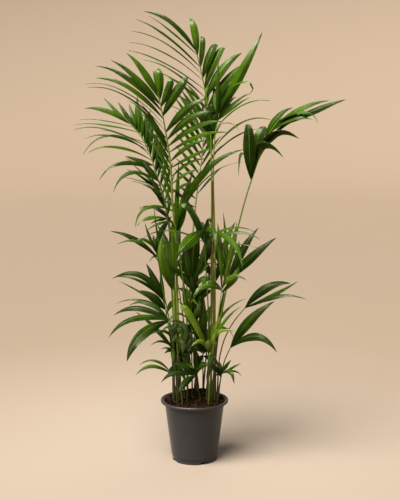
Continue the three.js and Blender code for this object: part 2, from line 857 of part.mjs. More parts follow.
// The leaflet's blade with its tip moved to the back or the front until it passes clear
// of every other piece, or null if there is no such way.
function clearBlade(name, root, leaflet, crowd) {
  for (let i = 0; i <= 2 * SIDE_TRIES; i++) {
    const aside = SIDE_STEP * Math.ceil(i / 2) * (i % 2 ? 1 : -1);
    const room = bladeSolid(root, leaflet, aside, LEAF_CLEARANCE);
    if (!crowd.blocks(name, room)) return bladeSolid(root, leaflet, aside);
  }
  return null;
}

function makeFronds(crowd) {
  const spines = FRONDS.map((frond) => new Spine(frond));
  const bodies = spines.map((spine) => spine.solid());
  FRONDS.forEach(({ name }, i) => crowd.add(name, bodies[i]));
  FRONDS.forEach((frond, i) => {
    for (const leaflet of frondLeaflets(frond, i)) {
      const blade = clearBlade(frond.name, spines[i].atHeight(leaflet.height), leaflet, crowd);
      if (!blade) continue;
      crowd.add(frond.name, blade);
      bodies[i] = bodies[i].add(blade);
    }
  });
  return FRONDS.map((frond, i) => meshOf(frond.name, bodies[i], frond.colour, LEAF_ROUGHNESS));
}

// ---- Straight pieces that stand in the soil ----------------------------------------

function standingPiece({ foot, top, diameter }) {
  const surface = soilHeight(...foot);
  const radius = diameter / 2;
  return loft([
    ringAbout(vector([...foot, surface - PLANTING_DEPTH]), RIGHT, BACK, radius, STEM_SIDES),
    ringAbout(vector([...foot, surface + COLLAR]), RIGHT, BACK, radius, STEM_SIDES),
    ringAbout(vector(top), RIGHT, BACK, radius * 0.8, STEM_SIDES),
  ]);
}

// ---- Assembly ----------------------------------------------------------------------

const crowd = new Crowd();
const cane = { name: 'support_cane', foot: CANE_FOOT, top: CANE_TOP, diameter: CANE_DIAMETER };
const standing = [cane, ...OLD_BASES];

let soil = makeSoil();
for (const { foot, stem } of FRONDS) soil = soil.subtract(stemHole(foot, stem / 2));
for (const { foot, diameter } of standing) soil = soil.subtract(stemHole(foot, diameter / 2));
const pot = makePot();
crowd.add('soil', soil);
crowd.add('pot', pot);

const pieces = standing.map((piece) => {
  const solid = standingPiece(piece);
  crowd.add(piece.name, solid);
  return meshOf(piece.name, solid, DRY_BROWN, DRY_ROUGHNESS);
});

const palm = new THREE.Group();
palm.name = 'potted_palm';
palm.add(
  meshOf('pot', pot, POT_BLACK, PLASTIC_ROUGHNESS),
  meshOf('soil', soil, SOIL_BROWN, SOIL_ROUGHNESS),
  ...pieces,
  ...makeFronds(crowd),
);

export default palm;
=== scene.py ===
# The looks of a potted palm: a smooth nursery pot, loose bark soil, a cane, dry sheaths and
# fronds with veined leaflets, each in the place of its plain piece of the construction.
import math
from collections import namedtuple
from contextlib import contextmanager

import bmesh
import bpy
import numpy as np
from bpy.props import FloatProperty, FloatVectorProperty, IntProperty, PointerProperty
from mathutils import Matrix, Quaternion, Vector, noise


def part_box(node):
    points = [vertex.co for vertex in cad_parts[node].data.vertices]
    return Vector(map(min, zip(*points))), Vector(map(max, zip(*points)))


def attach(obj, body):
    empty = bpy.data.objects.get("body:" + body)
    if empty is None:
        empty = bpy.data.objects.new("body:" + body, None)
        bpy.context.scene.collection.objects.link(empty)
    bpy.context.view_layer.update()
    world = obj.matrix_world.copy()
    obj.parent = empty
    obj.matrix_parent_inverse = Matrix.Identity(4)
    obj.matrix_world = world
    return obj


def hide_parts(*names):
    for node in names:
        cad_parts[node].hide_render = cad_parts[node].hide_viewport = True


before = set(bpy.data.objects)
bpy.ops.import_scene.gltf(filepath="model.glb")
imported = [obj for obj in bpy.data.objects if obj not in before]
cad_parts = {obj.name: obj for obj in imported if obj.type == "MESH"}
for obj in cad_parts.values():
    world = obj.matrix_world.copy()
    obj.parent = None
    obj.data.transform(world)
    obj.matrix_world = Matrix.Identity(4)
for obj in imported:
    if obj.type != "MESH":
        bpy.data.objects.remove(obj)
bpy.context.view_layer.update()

bl_info = {
    "name": "Potted Palm",
    "version": (1, 0, 0),
    "blender": (4, 5, 0),
    "location": "View3D > Sidebar > Palm",
    "description": "Pot, bark soil, cane, dry sheaths and feathered fronds of a tall potted palm",
    "category": "Add Mesh",
}

MM = 0.001
UP = Vector((0, 0, 1))
BACK = Vector((0, 1, 0))

# ---- Sizes shared with the construction, in millimetres ---------------------------------

BASE_RING_HEIGHT = 16
WALL = 2.2
FLOOR = 3

SOIL_LEVEL = 208  # at the wall
MOUND_HEIGHT = 33
MOUND_CENTRE = (12, 46)
MOUND_SPREAD = 47
LUMP_HEIGHT = 2.4
LUMP_WAVE = (0.118, 0.141)  # radians per millimetre along X and Y

PLANTING_DEPTH = 60  # how deep a stem stands in the soil
COLLAR = 12  # straight length of a stem above the soil
STEM_TIP_SHARE = 0.24  # tip diameter as a share of the foot diameter
STEM_TIP_LEAST = 3.6
CREST_PLACE = 0.55  # where along its reach a leaflet is drawn upwards
ROW_UNEVENNESS = 0.07  # leaflets in a row differ in length by up to this share

CANE_FOOT = (70, -9)
CANE_TOP = (62, 2, 1000)
OLD_BASES = [
    ("old_leaf_base_a", (-56, -8), (-62, -14, 300)),
    ("old_leaf_base_b", (-36, 6), (-40, 2, 290)),
]

# ---- The fronds, in millimetres ----------------------------------------------------------
# foot: where the stem leaves the soil. stem: its diameter there. tone: how light the frond
# is, from 0, the darkest, to 1. spine: the points that its stem and midrib pass through.
# leaves: single leaflets, each with the values of Leaflet in their order. rows: leaflets
# that run evenly from a row's first mark to its last, each mark being such a leaflet too.
# height: of the root on the spine. reach: from root to tip. arch: how far the blade is drawn
# upwards, square to its reach, of which it rises about half. turn: 0 for a blade facing the
# sky, 1 for one facing the front and -1 for the back. curl: how far its outer part bends
# under, in radians. tint: what the leaflet's tone adds to the frond's.

Frond = namedtuple("Frond", "name foot stem tone spine leaves rows", defaults=[()])
Row = namedtuple("Row", "count marks")
Leaflet = namedtuple("Leaflet", "height reach arch width turn curl tint", defaults=[0.35, 0])
# Lower tones are partly the dark green of old fronds and partly painted shade on fronds deep in the
# clump; lower tints paint shade on single leaflets, and some raised tints paint sheen on leaflets
# facing the light.
DEEP, DARK, GROWN, MID, YOUNG = 0.02, 0.15, 0.26, 0.38, 0.7  # tones

FRONDS = [
    Frond(
        "frond_top", foot=(58, 34), stem=11, tone=MID,
        spine=[(60, 44, 460), (60, 56, 750), (60, 72, 1030), (55, 80, 1185), (35, 75, 1315),
            (15, 65, 1405), (5, 55, 1445)],
        leaves=[
            (1440, (-175, -20, 130), 50, 26, 0.45, 0.15),
            (1430, (-160, -10, 130), 10, 14, 0.3, 0.1),
            (1390, (-210, -30, 160), 25, 20, 0.3, 0.15),
            (1365, (-235, -60, 145), 45, 14, 0.2, 0.1),
            (1345, (-245, -80, 130), 40, 13, 0.2, 0.1),
            (1315, (-255, -70, 135), 30, 14, 0.2, 0.1),
            (1285, (-210, 0, 135), 30, 14, 0.25, 0.2),
            (1250, (-190, 60, 130), 30, 15, 0.3, 0.2),
            (1200, (-170, 80, 120), 30, 15, 0.3, 0.2),
            (1150, (-150, 100, 110), 30, 15, 0.3, 0.2),
            (1440, (-20, 20, 125), 10, 26, 0.9, 0.9),
            (1400, (10, 40, 105), -10, 20, 0.85, 1.6),
            (1365, (45, 50, 120), 10, 28, 0.8, 1.3),
            (1330, (65, 60, 145), 15, 29, 0.8, 0.9),
            (1300, (125, 60, 150), 35, 32, 0.7, 0.5),
            (1270, (140, 70, 150), 25, 30, 0.7, 0.5),
            (1245, (110, 80, 130), 5, 26, 0.7, 0.6),
            (1235, (75, 100, 105), -10, 22, 0.6, 0.6),
            (1200, (90, 120, 110), 10, 22, 0.6, 0.5),
            # Painted shade: these two leaflets are tinted darker to fill the shade behind the
            # right-hand ones.
            (1160, (15, 75, 115), 5, 24, 0.7, 0.2, -0.1),
            (1115, (-20, 60, 120), 5, 26, 0.7, 0.2, -0.1),
        ],
    ),
    Frond(
        "frond_front", foot=(-50, 0), stem=14, tone=MID,
        spine=[(-55, -5, 365), (-60, -20, 585), (-65, -40, 800), (-75, -60, 940), (-80, -85, 1065),
            (-95, -110, 1175), (-110, -130, 1260), (-120, -140, 1310)],
        leaves=[
            (1290, (-100, -20, 145), 15, 24, 0.8, 0.3),
            (1270, (-150, -30, 145), 15, 23, 0.7, 0.3),
            (1250, (-205, -40, 150), 40, 22, 0.6, 0.3),
            (1225, (-210, -50, 135), 50, 22, 0.5, 0.3),
            (1205, (-250, -50, 140), 60, 9, 0.1, 0.2),
            (1185, (-245, -60, 150), 60, 14, 0.2, 0.2),
            (1160, (-120, 20, 130), 10, 14, 0.4),
            (1130, (-90, 30, 120), 5, 14, 0.5),
            (1095, (-80, 30, 110), 0, 12, 0.5),
            (1060, (-70, 20, 100), 0, 12, 0.5),
            (1310, (-15, 20, 85), 10, 20, 0.8, 1.2),
            (1300, (0, -10, 95), 5, 29, 0.9, 1.4),
            (1280, (35, -20, 90), -5, 25, 0.9, 1.5),
            (1250, (75, -30, 115), 10, 31, 0.9, 1.4),
            (1150, (-85, -20, 140), 5, 12, 0.6, 0.2),
            (1120, (-75, -10, 130), 5, 12, 0.6, 0.2),
            (1085, (-65, -10, 120), 5, 12, 0.6, 0.2),
            (1050, (-60, 0, 110), 5, 11, 0.6, 0.2),
            (1015, (-50, 0, 100), 5, 11, 0.6, 0.2),
            (985, (-45, 0, 95), 5, 11, 0.6, 0.2),
            (955, (-45, 10, 80), 5, 10, 0.6, 0.2),
            (935, (-125, -30, -60), 85, 16, 0.5, 0.2),
            (930, (-30, 10, 10), 10, 6, 0.4, 0.1),
            (1210, (130, -40, 110), 25, 28, 0.8, 0.5),
            (1185, (145, -50, 95), 35, 25, 0.8, 0.4),
            (1165, (175, -50, 85), 35, 22, 0.7, 0.3),
            (1145, (190, -60, 70), 35, 18, 0.6, 0.2),
            (1115, (120, -60, 75), 25, 17, 0.7, 0.3),
            (1095, (145, -60, 75), 10, 14, 0.6, 0.2),
            (1065, (115, -50, 65), 25, 14, 0.6, 0.2),
            (1040, (90, -50, 55), 15, 13, 0.6, 0.2),
            (1010, (75, -40, 40), 15, 12, 0.6, 0.2),
        ],
    ),
    Frond(
        "frond_left", foot=(-60, 22), stem=11, tone=GROWN,
        spine=[(-65, 26, 430), (-70, 36, 605), (-80, 46, 785), (-105, 60, 925), (-130, 75, 1000),
            (-155, 90, 1080), (-185, 105, 1140), (-220, 120, 1180), (-250, 130, 1210)],
        leaves=[
            (1185, (-155, -20, 55), 30, 24, 0.5, 0.2),
            (1175, (-185, -30, 30), 15, 9, 0.1, 0.1),
            (1160, (-215, -40, 30), 20, 16, 0.2, 0.1),
            (1125, (-145, -20, 50), 5, 10, 0.2, 0.2),
            (1110, (-245, -50, 70), 45, 16, 0.2, 0.2),
            (1100, (-215, -50, 50), 45, 16, 0.2, 0.2),
            (1085, (-230, -70, 10), 120, 14, 0.3, 0.3),
            (1070, (-215, -60, 35), 55, 20, 0.3, 0.2),
            (1055, (-95, -20, 35), 0, 20, 0.6, 0.2),
            (1035, (-190, -60, -25), 85, 22, 0.5, 0.2),
            (1030, (-105, -20, 55), 5, 9, 0.5, 0.1, 0.3),
            (1015, (-50, 10, 45), 0, 22, 0.6, 0.2),
            (990, (-120, -20, 35), 0, 8, 0.3, 0.1),
            (1205, (-90, 40, 90), -10, 16, 0.6, 0.3),
            (1190, (-60, 50, 90), 0, 17, 0.6, 0.3),
            (1175, (-35, 60, 100), -10, 19, 0.7, 0.3),
            (1160, (-15, 60, 110), 15, 19, 0.7, 0.3),
            (1145, (0, 70, 110), -15, 17, 0.7, 0.3),
            (1130, (10, 70, 110), -15, 17, 0.7, 0.3),
            (1105, (-5, 70, 100), 5, 17, 0.7, 0.3),
            (1080, (15, 70, 95), 5, 17, 0.7, 0.3),
            (1050, (25, 70, 95), 10, 17, 0.7, 0.3),
            (1200, (5, 60, 115), 5, 13, 0.7, 0.2),
            (1185, (-5, 20, 120), 0, 13, 0.8, 0.2),
            (1150, (15, 30, 125), 5, 14, 0.8, 0.2),
            (1120, (10, 20, 125), 0, 14, 0.8, 0.2),
            (1095, (20, 40, 125), 5, 14, 0.8, 0.2),
            (1065, (25, 30, 120), 5, 14, 0.8, 0.2),
            (1040, (30, 50, 115), 5, 14, 0.8, 0.2),
            (1015, (30, 30, 110), 5, 14, 0.8, 0.2),
            (990, (35, 50, 105), 5, 13, 0.8, 0.2),
            (965, (35, 40, 95), 5, 12, 0.8, 0.2),
        ],
    ),
    Frond(
        "frond_back", foot=(12, 48), stem=10, tone=MID,
        spine=[(5, 62, 310), (-15, 92, 485), (-15, 132, 660), (0, 180, 855), (10, 206, 940),
            (25, 235, 1045), (35, 262, 1155), (40, 285, 1230)],
        rows=[
            Row(13, [
                (880, (-60, -20, 30), 0, 9, 0.8),
                (935, (-75, -20, 75), 5, 11, 0.8),
                (1120, (-100, 0, 160), 5, 16, 0.7),
                (1225, (-70, 15, 95), 5, 14, 0.7),
            ]),
            Row(10, [
                (925, (90, 85, 90), 5, 8, 0.5),
                (1100, (65, 90, 125), 5, 14, 0.5),
                (1220, (65, 70, 100), 5, 14, 0.5),
            ]),
        ],
        leaves=[
            (1230, (10, 65, 95), -5, 18, 0.8),
        ],
    ),
    Frond(
        "frond_crown_right", foot=(74, 12), stem=10, tone=MID,
        spine=[(72, 22, 470), (72, 30, 755), (66, 36, 1015), (70, 40, 1135), (80, 40, 1205),
            (90, 40, 1245)],
        leaves=[
            (1225, (145, 20, 270), 0, 34, 0.8, 0.3, -0.1),
            (1190, (5, -60, 220), -20, 13, 0.9, 0.2),
            (1235, (105, -60, 95), 65, 12, 0.4, 2.4, -0.1),
            (1220, (100, 20, 80), 5, 15, 0.5, 0.2),
            (1210, (105, -20, 80), 5, 12, 0.5, 0.2),
            (1185, (180, -40, 95), 50, 14, 0.2, 0.2),
            (1115, (200, 20, 95), 70, 15, 0.2, 0.2),
            (1095, (160, 40, 85), 35, 13, 0.2, 0.2),
            (1195, (75, -60, -10), 35, 8, 0.2, 0.2),
            (1240, (-5, -40, 160), -10, 18, 0.4),
            (1235, (-15, 60, 105), -15, 20, 0.6),
            (1170, (-35, -20, 105), -40, 28, 0.8, 0.2, -0.35),
            (1190, (-15, 10, 90), -30, 26, 0.8, 0.2, -0.35),
        ],
    ),
    Frond(
        "frond_right_arm", foot=(60, -17), stem=10, tone=GROWN,
        spine=[(70, -24, 330), (85, -32, 480), (110, -42, 625), (140, -50, 800), (175, -60, 945),
            (195, -60, 1010), (220, -60, 1085), (250, -60, 1160), (295, -55, 1225)],
        leaves=[
            (1010, (-10, -30, 180), -15, 42, 0.95, 1.9),
            (1025, (40, 20, 165), 25, 36, 0.9, 1.4),
            (1135, (95, 30, 120), 35, 26, 0.6, 0.4, -0.05),
            (1175, (195, 10, 105), 35, 26, 0.5, 0.2, -0.08),
            (1195, (235, 0, 95), 0, 28, 0.5, 0.2, -0.08),
            (1210, (135, -30, 20), 45, 22, 0.3, 0.7, -0.05),
            (1185, (110, -50, 55), 10, 28, 0.2, 0.5, -0.1),
            (1020, (-45, -30, -5), 165, 13, 0.5, 0.2, 0.1),
            (1035, (110, -40, 55), 140, 42, -0.5, 0.2, -0.05),
            (1085, (140, -35, 75), 100, 40, -0.5, 0.2, -0.05),
            (1145, (155, -20, 90), 40, 30, 0.2, 0.3),
        ],
    ),
    Frond(
        "frond_left_arch", foot=(-72, -4), stem=8, tone=DARK,
        spine=[(-72, -15, 440), (-80, -30, 655), (-85, -45, 815), (-100, -60, 925), (-120, -75, 1010)],
        leaves=[
            (1005, (-150, -50, -35), 95, 20, 0.5, 0.2),
            (1005, (-60, 20, 75), 0, 16, 0.8, 0.2),
            (990, (-100, 30, 80), -5, 9, 0.5, 0.1),
            (965, (-120, -10, 85), 15, 12, 0.5, 0.1),
            (975, (-75, 50, 65), 5, 12, 0.5, 0.1),
            (965, (-110, 60, 40), 15, 9, 0.4, 0.1),
            (945, (-55, -40, 65), 0, 14, 0.6, 0.1),
            (920, (-45, -20, 110), -5, 18, 0.9, 0.1),
            (895, (-5, 10, 75), 35, 10, 0.8, 0.1),
            (910, (-95, 20, 10), 25, 14, 0.25, 0.1),
            (890, (-100, -60, -15), 30, 22, 0.4, 0.2, 0.25),
            (890, (-55, -40, -10), 10, 14, 0.4, 0.1),
            (885, (-65, -70, -20), 10, 14, 0.4, 0.1),
        ],
    ),
    Frond(
        "frond_mid_upright", foot=(-25, -20), stem=8, tone=DARK,
        spine=[(-25, -30, 480), (-40, -45, 660), (-55, -55, 785), (-65, -60, 855)],
        leaves=[
            (850, (225, -20, 255), 85, 25, 0.7, 0.4, 0.15),
            (850, (220, -10, 220), 75, 8, 0.3, 0.2),
            (850, (60, 10, 190), 5, 19, 0.8, 0.2, 0.1),
            (850, (10, 10, 215), 0, 16, 0.8, 0.2, 0.2),
            (830, (35, 30, 105), 5, 28, 0.8, 0.2, 0.2),
            (845, (-130, 60, 60), 60, 16, 0.3),
            (840, (-65, 30, 95), 80, 20, 0.6),
        ],
    ),
    Frond(
        "frond_centre_droop", foot=(44, -10), stem=8, tone=DARK,
        spine=[(50, -25, 440), (45, -45, 625), (37, -75, 755), (32, -95, 845)],
        leaves=[
            # Painted sheen: the first three, drooping towards the front, are tinted paler.
            (840, (-85, -100, -65), 15, 42, 0.9, 0.1, 0.15),
            (835, (40, -140, -60), 105, 24, 0.95, 0.1, 0.15),
            (835, (120, -115, -120), 110, 20, 0.8, 0.1, 0.1),
            (810, (170, 30, 20), 50, 14, 0.3, 0.1),
            (810, (185, -60, 10), 50, 20, 0.35, 0.1),
            (800, (185, -90, 0), 15, 9, 0.3, 0.1),
            (815, (-140, 40, 180), 55, 16, 0.5, 0.2, 0.1),
            (835, (-65, -20, 105), 15, 28, 0.4, 1.8, -0.1),
            (835, (15, -20, 60), 10, 22, 0.2, 2.4, 0.2),
            (810, (-210, 20, 5), 65, 11, 0.3, 0.1),
            (810, (-50, -20, 95), 15, 22, 0.9, 0.2),
            (810, (10, 20, 75), -10, 22, 0.9, 0.2),
            (810, (-15, 90, 60), 40, 20, 0.5),
        ],
    ),
    Frond(
        "frond_young_split", foot=(-43, -36), stem=7, tone=MID,
        spine=[(-50, -41, 300), (-65, -50, 485), (-75, -55, 630)],
        leaves=[
            (625, (-20, -15, 210), -60, 22, 1, 0.1, 0.05),
            (625, (-45, 5, 135), -15, 22, 1, 0.1),
            (625, (0, 15, 240), 0, 32, 1, 0.1, 0.05),
            (625, (-15, 0, 185), -15, 28, 1, 0.1, 0),
            (625, (-60, 30, 295), -25, 10, 0.9, 0.1),
        ],
    ),
    Frond(
        "frond_dark_cup", foot=(5, 15), stem=7, tone=DARK,
        spine=[(0, 5, 470), (0, -5, 615), (-5, -10, 675)],
        leaves=[
            (665, (20, -20, 165), 25, 46, 0.95, 0.2, -0.15),
            (665, (55, 30, 140), -25, 36, 1, 0.2, -0.15),
            (665, (-100, -75, 120), -50, 14, 0.7, 0.2),
            (615, (-65, -20, 95), -5, 20, 0.8, 0.2),
            (665, (60, 10, 50), 10, 22, 0.7, 0.2),
            (635, (40, -30, -15), 70, 26, 0.8, 0.2),
            (675, (-45, 50, 70), 0, 24, 0.7),
            (635, (-25, -10, 165), -25, 34, 0.9, 0.2, -0.15),
            (660, (35, 0, 145), -20, 26, 0.9, 0.2),
            (605, (45, -30, 95), -35, 26, 0.9, 0.2, -0.15),
            (595, (-15, -30, 90), 15, 24, 0.9, 0.2, -0.15),
        ],
    ),
    Frond(
        "frond_left_low_a", foot=(-62, 7), stem=7, tone=DARK,
        spine=[(-72, 2, 415), (-95, 5, 540), (-115, 5, 640), (-125, 5, 710), (-135, 0, 755)],
        leaves=[
            (730, (-155, -45, 95), 30, 20, 0.7, 0.2),
            (715, (-135, -70, 70), 65, 16, 0.5, 0.2),
            (750, (-65, -60, 50), 35, 18, 0.5, 0.5),
            (750, (-40, 30, 100), -5, 11, 0.7, 0.2),
            (750, (-15, 60, 55), 15, 15, 0.8, 0.2),
            (745, (55, 20, 130), 30, 24, 0.9, 0.3),
            (720, (60, 110, 60), 40, 18, 0.3),
        ],
    ),
    Frond(
        "frond_left_low_b", foot=(-76, 16), stem=7, tone=DARK,
        spine=[(-80, 22, 375), (-95, 30, 495), (-110, 35, 580)],
        leaves=[
            (570, (-60, 25, 125), 0, 26, 0.8, 0.2),
            (550, (-15, 45, 130), -20, 15, 0.8, 0.2),
            (570, (-180, -35, 80), 95, 28, 0.6, 0.2),
            (570, (-175, 10, 80), 55, 14, 0.4, 0.1),
            (550, (-160, 0, 95), 5, 9, 0.5, 0.1),
            (545, (-85, -50, 75), 15, 30, 0.8, 0.2),
            (545, (-175, 40, 10), 45, 14, 0.35, 0.1),
        ],
    ),
    Frond(
        "frond_left_low_c", foot=(-61, -20), stem=7, tone=DARK,
        spine=[(-66, -25, 325), (-76, -40, 435), (-90, -55, 525)],
        leaves=[
            (520, (-140, 50, 35), 60, 22, 0.45, 0.2),
            (520, (-190, 15, 10), 60, 26, 0.5, 0.2),
            (520, (-200, -60, -50), 75, 24, 0.6, 0.2),
            (520, (-135, -80, -125), 65, 38, 0.85, 0.2),
            (520, (50, -60, -75), 100, 16, 0.6, 0.2),
            (475, (45, -40, 15), 45, 16, 0.8, 0.2, -0.15),
            (450, (45, -40, -20), 35, 18, 0.8, 0.2, -0.15),
            (435, (0, -35, -55), 10, 16, 0.8, 0.2, -0.15),
            (480, (10, -35, 65), -60, 16, 0.8, 0.2, -0.15),
        ],
    ),
    Frond(
        "frond_left_low_d", foot=(-45, 27), stem=6, tone=DARK,
        spine=[(-55, 31, 300), (-70, 32, 390)],
        leaves=[
            (385, (-135, -20, 145), 15, 17, 0.6, 0.2),
            (385, (-85, -40, 65), 75, 15, 0.5, 0.2),
            (380, (-85, -50, 40), 50, 16, 0.4, 0.2),
            (370, (-55, 20, 20), 30, 13, 0.4, 0.2),
            (385, (-10, 30, 115), 20, 24, 0.8, 0.2, -0.15),
            (385, (55, -20, 85), 5, 24, 0.8, 0.2, -0.15),
            (385, (20, 10, 105), -25, 22, 0.8, 0.2, -0.15),
            (375, (50, -50, -25), 60, 20, 0.7, 0.2),
            (385, (40, 30, 100), -15, 22, 0.8, 0.2, -0.15),
            (390, (-25, 20, 90), 5, 18, 0.8, 0.2),
            (370, (45, 0, 40), -25, 22, 0.7, 0.2),
            (345, (25, -40, -40), 15, 20, 0.7, 0.2),
            (385, (-5, -60, 125), 20, 22, 0.8, 0.2, -0.15),
            (385, (45, -60, 105), -40, 22, 0.8, 0.2, -0.15),
            (375, (-40, -50, 30), 45, 22, 0.7, 0.2, -0.15),
            (360, (50, -60, 0), 30, 20, 0.7, 0.2, -0.15),
            (340, (-35, -50, -15), 40, 18, 0.7, 0.2, -0.15),
            (385, (-10, -95, 120), 10, 20, 0.8, 0.2, -0.2),
            (385, (20, -100, 140), -50, 24, 0.8, 0.2, -0.2),
            (385, (50, -105, 105), -20, 22, 0.8, 0.2, -0.2),
            (360, (55, -100, 15), 25, 22, 0.8, 0.2, -0.2),
            (375, (40, -90, 50), 20, 20, 0.8, 0.2, -0.2),
        ],
    ),
    Frond(
        "frond_left_low_e", foot=(-65, 44), stem=6, tone=MID,
        spine=[(-75, 47, 275), (-85, 50, 305)],
        leaves=[
            (300, (-115, 10, 20), 60, 13, 0.35, 0.1),
            (300, (-125, -30, -5), 60, 17, 0.5, 0.1),
            (305, (45, 60, 75), 15, 18, 0.5),
        ],
    ),
    Frond(
        "frond_low_front", foot=(20, -20), stem=6, tone=DARK,
        spine=[(10, -30, 270), (0, -35, 325)],
        leaves=[
            (315, (-115, -45, -15), 45, 23, 0.6, 0.2, -0.1),
            (320, (-80, -30, 50), 15, 22, 0.7, 0.2),
            (315, (-55, -60, -50), 25, 26, 1.3, 0.2, -0.25),
            (320, (-10, -25, 95), 50, 24, 0.8, 0.2),
            (320, (55, -65, 45), 40, 24, 0.7, 0.2),
            (320, (-50, 20, 75), 5, 22, 0.7, 0.2),
        ],
    ),
    Frond(
        "frond_low_right", foot=(80, -30), stem=6, tone=DARK,
        spine=[(87, -36, 275), (95, -40, 325)],
        leaves=[
            (325, (35, 50, 35), 5, 13, 0.6, 0.2),
            (325, (65, -30, 45), 0, 10, 0.5, 0.1),
            (325, (70, 0, -10), 30, 11, 0.4, 0.1),
            (325, (40, -60, -25), 65, 20, 0.8, 0.2),
            (325, (-10, 40, 35), 25, 11, 0.7, 0.1),
            (325, (-20, 50, -30), 25, 15, 0.5, 0.2),
            (325, (-45, -80, -10), 145, 30, 0.9, 0.2),
            (320, (-65, -40, 50), 35, 20, 0.7),
        ],
    ),
    Frond(
        "frond_right_low_pair", foot=(85, 0), stem=7, tone=DEEP,
        spine=[(88, 0, 260), (105, 0, 355), (130, -5, 415)],
        leaves=[
            (410, (150, -15, 160), 30, 36, 0.8, 0.2),
            (410, (155, -55, -15), 95, 30, 0.7, 0.2),
        ],
    ),
    Frond(
        "frond_right_low_trio", foot=(82, 30), stem=7, tone=DEEP,
        spine=[(88, 30, 355), (108, 30, 435), (140, 32, 495), (180, 32, 545)],
        leaves=[
            (545, (160, 30, 75), 50, 32, 0.7, 0.3),
            (545, (180, -20, 100), -10, 17, 0.6, 0.1),
            (545, (205, -50, 45), 40, 22, 0.45, 0.2),
        ],
    ),
    Frond(
        "frond_right_mid", foot=(44, 40), stem=8, tone=DARK,
        spine=[(66, 58, 390), (90, 58, 495), (110, 55, 595), (125, 52, 655)],
        leaves=[
            (640, (160, -20, 150), 10, 33, 0.8, 0.2),
            (650, (100, 20, 170), 15, 30, 0.8, 0.2),
            (650, (-20, 30, 225), 0, 13, 0.9, 0.2),
            (640, (35, 50, 135), -35, 22, 0.8, 0.2),
            (455, (25, 0, 160), -5, 15, 0.95, 0.1),
            (655, (-30, 70, 120), 0, 20, 0.6),
        ],
    ),
    Frond(
        "frond_centre_right", foot=(50, -46), stem=7, tone=YOUNG,
        spine=[(65, -60, 415), (85, -75, 560), (95, -85, 640)],
        leaves=[
            (630, (-95, -60, -15), 55, 20, 0.7, 0.3, -0.15),
            (635, (85, -40, 30), 60, 15, 0.7, 0.1, -0.2),
            (635, (-65, -30, 0), 55, 15, 0.7, 0.1, -0.2),
            (635, (-15, 15, 225), 10, 19, 1, 0.2, -0.1),
            (635, (50, 25, 225), -10, 22, 1, 0.2, -0.1),
            (630, (55, 5, 90), -20, 26, 1, 0.2, -0.05),
        ],
    ),
    Frond(
        "frond_young_pale", foot=(50, -29), stem=6, tone=YOUNG,
        spine=[(50, -36, 300), (50, -41, 400)],
        leaves=[
            (400, (-80, -30, 160), 10, 26, 0.45, 2.2, 0.3),
            (395, (-60, -60, 35), 60, 18, 0.7, 0.3, 0.3),
            (400, (0, -40, 60), 0, 28, 1, 0, 0.4),
            (400, (85, -60, 85), 65, 16, 0.7, 0.3, 0.3),
            (400, (130, 30, 185), 70, 14, 0.5, 0.2),
            (400, (110, -20, 170), 35, 14, 0.5, 0.2),
        ],
    ),
    Frond(
        "frond_dark_centre", foot=(30, 30), stem=6, tone=DARK,
        spine=[(30, 35, 315), (30, 40, 395)],
        leaves=[
            (390, (0, -30, 210), 0, 30, 0.95, 0.2, -0.12),
            (385, (-40, -40, 170), 0, 30, 0.85, 0.2, -0.12),
            (390, (60, 20, 75), -15, 22, 0.7, 0.2),
            (385, (-60, 60, 35), 25, 26, 0.6, 0.2),
            (380, (-55, -70, -15), 65, 22, 0.7, 0.2),
            (380, (40, 50, -10), 55, 22, 0.6, 0.2),
            (380, (-15, -40, -60), 50, 22, 0.8, 0.2),
            (390, (-45, -20, 5), 55, 22, 0.7, 0.2),
            (390, (30, 30, 110), -15, 24, 0.8, 0.2),
            (380, (30, 20, -65), 40, 20, 0.7, 0.2),
        ],
    ),
    Frond(
        "frond_centre_left", foot=(-8, 0), stem=7, tone=DARK,
        spine=[(-10, -5, 400), (-15, -10, 515)],
        leaves=[
            (510, (-10, -10, 135), -10, 9, 0.9, 0.1, 0.4),
            (510, (0, 5, 125), 0, 9, 0.9, 0.1, 0.4),
            (510, (-25, -30, 90), 20, 9, 0.5, 0.1, 0.2),
            (510, (35, -60, 40), 100, 12, 0.7, 0.2, 0.3),
            (510, (-75, -60, -20), 85, 13, 0.5, 0.2, 0.35),
            (510, (35, -20, 110), 30, 11, 0.6, 0.1, 0.3),
            (510, (25, 30, 180), -5, 22, 1, 0.2),
            (505, (-60, -40, -65), 30, 20, 0.6, 0.2),
            (505, (-25, -60, -95), 35, 22, 0.8, 0.2),
            (505, (35, 30, -95), 50, 24, 0.8, 0.2),
            (510, (50, 30, 170), -15, 24, 0.9, 0.2),
            (510, (-25, 30, 150), -10, 20, 0.9, 0.2),
            (510, (30, -50, 95), -20, 24, 0.8, 0.2, -0.15),
            (505, (-20, -50, -75), 35, 24, 0.8, 0.2, -0.15),
        ],
    ),
    Frond(
        "frond_back_left", foot=(-25, 50), stem=8, tone=DARK,
        spine=[(-30, 80, 380), (-50, 115, 555), (-75, 150, 675)],
        leaves=[
            (665, (-95, 50, 15), 55, 26, 0.2),
            (665, (-60, 70, 145), 15, 26, 0.2),
            (670, (20, 60, 150), 5, 26, 0.2),
            (665, (80, 80, 5), 75, 26, 0.2),
            (665, (20, 130, -40), 60, 24, 0),
            (640, (50, -40, 120), -15, 24, 0.8, 0.2),
            (605, (45, -50, -60), 45, 22, 0.7, 0.2),
            (570, (-45, -30, -55), 30, 20, 0.6, 0.2),
        ],
    ),
    Frond(
        "frond_back_right", foot=(32, 64), stem=8, tone=DARK,
        spine=[(44, 92, 375), (62, 130, 550), (85, 170, 685)],
        leaves=[
            (675, (105, 60, -5), 65, 26, 0.2),
            (675, (60, 70, 145), 5, 26, 0.2),
            (685, (-30, 60, 135), 10, 26, 0.2),
            (675, (-80, 80, -5), 65, 26, 0.2),
            (675, (30, 120, -90), 60, 24, 0),
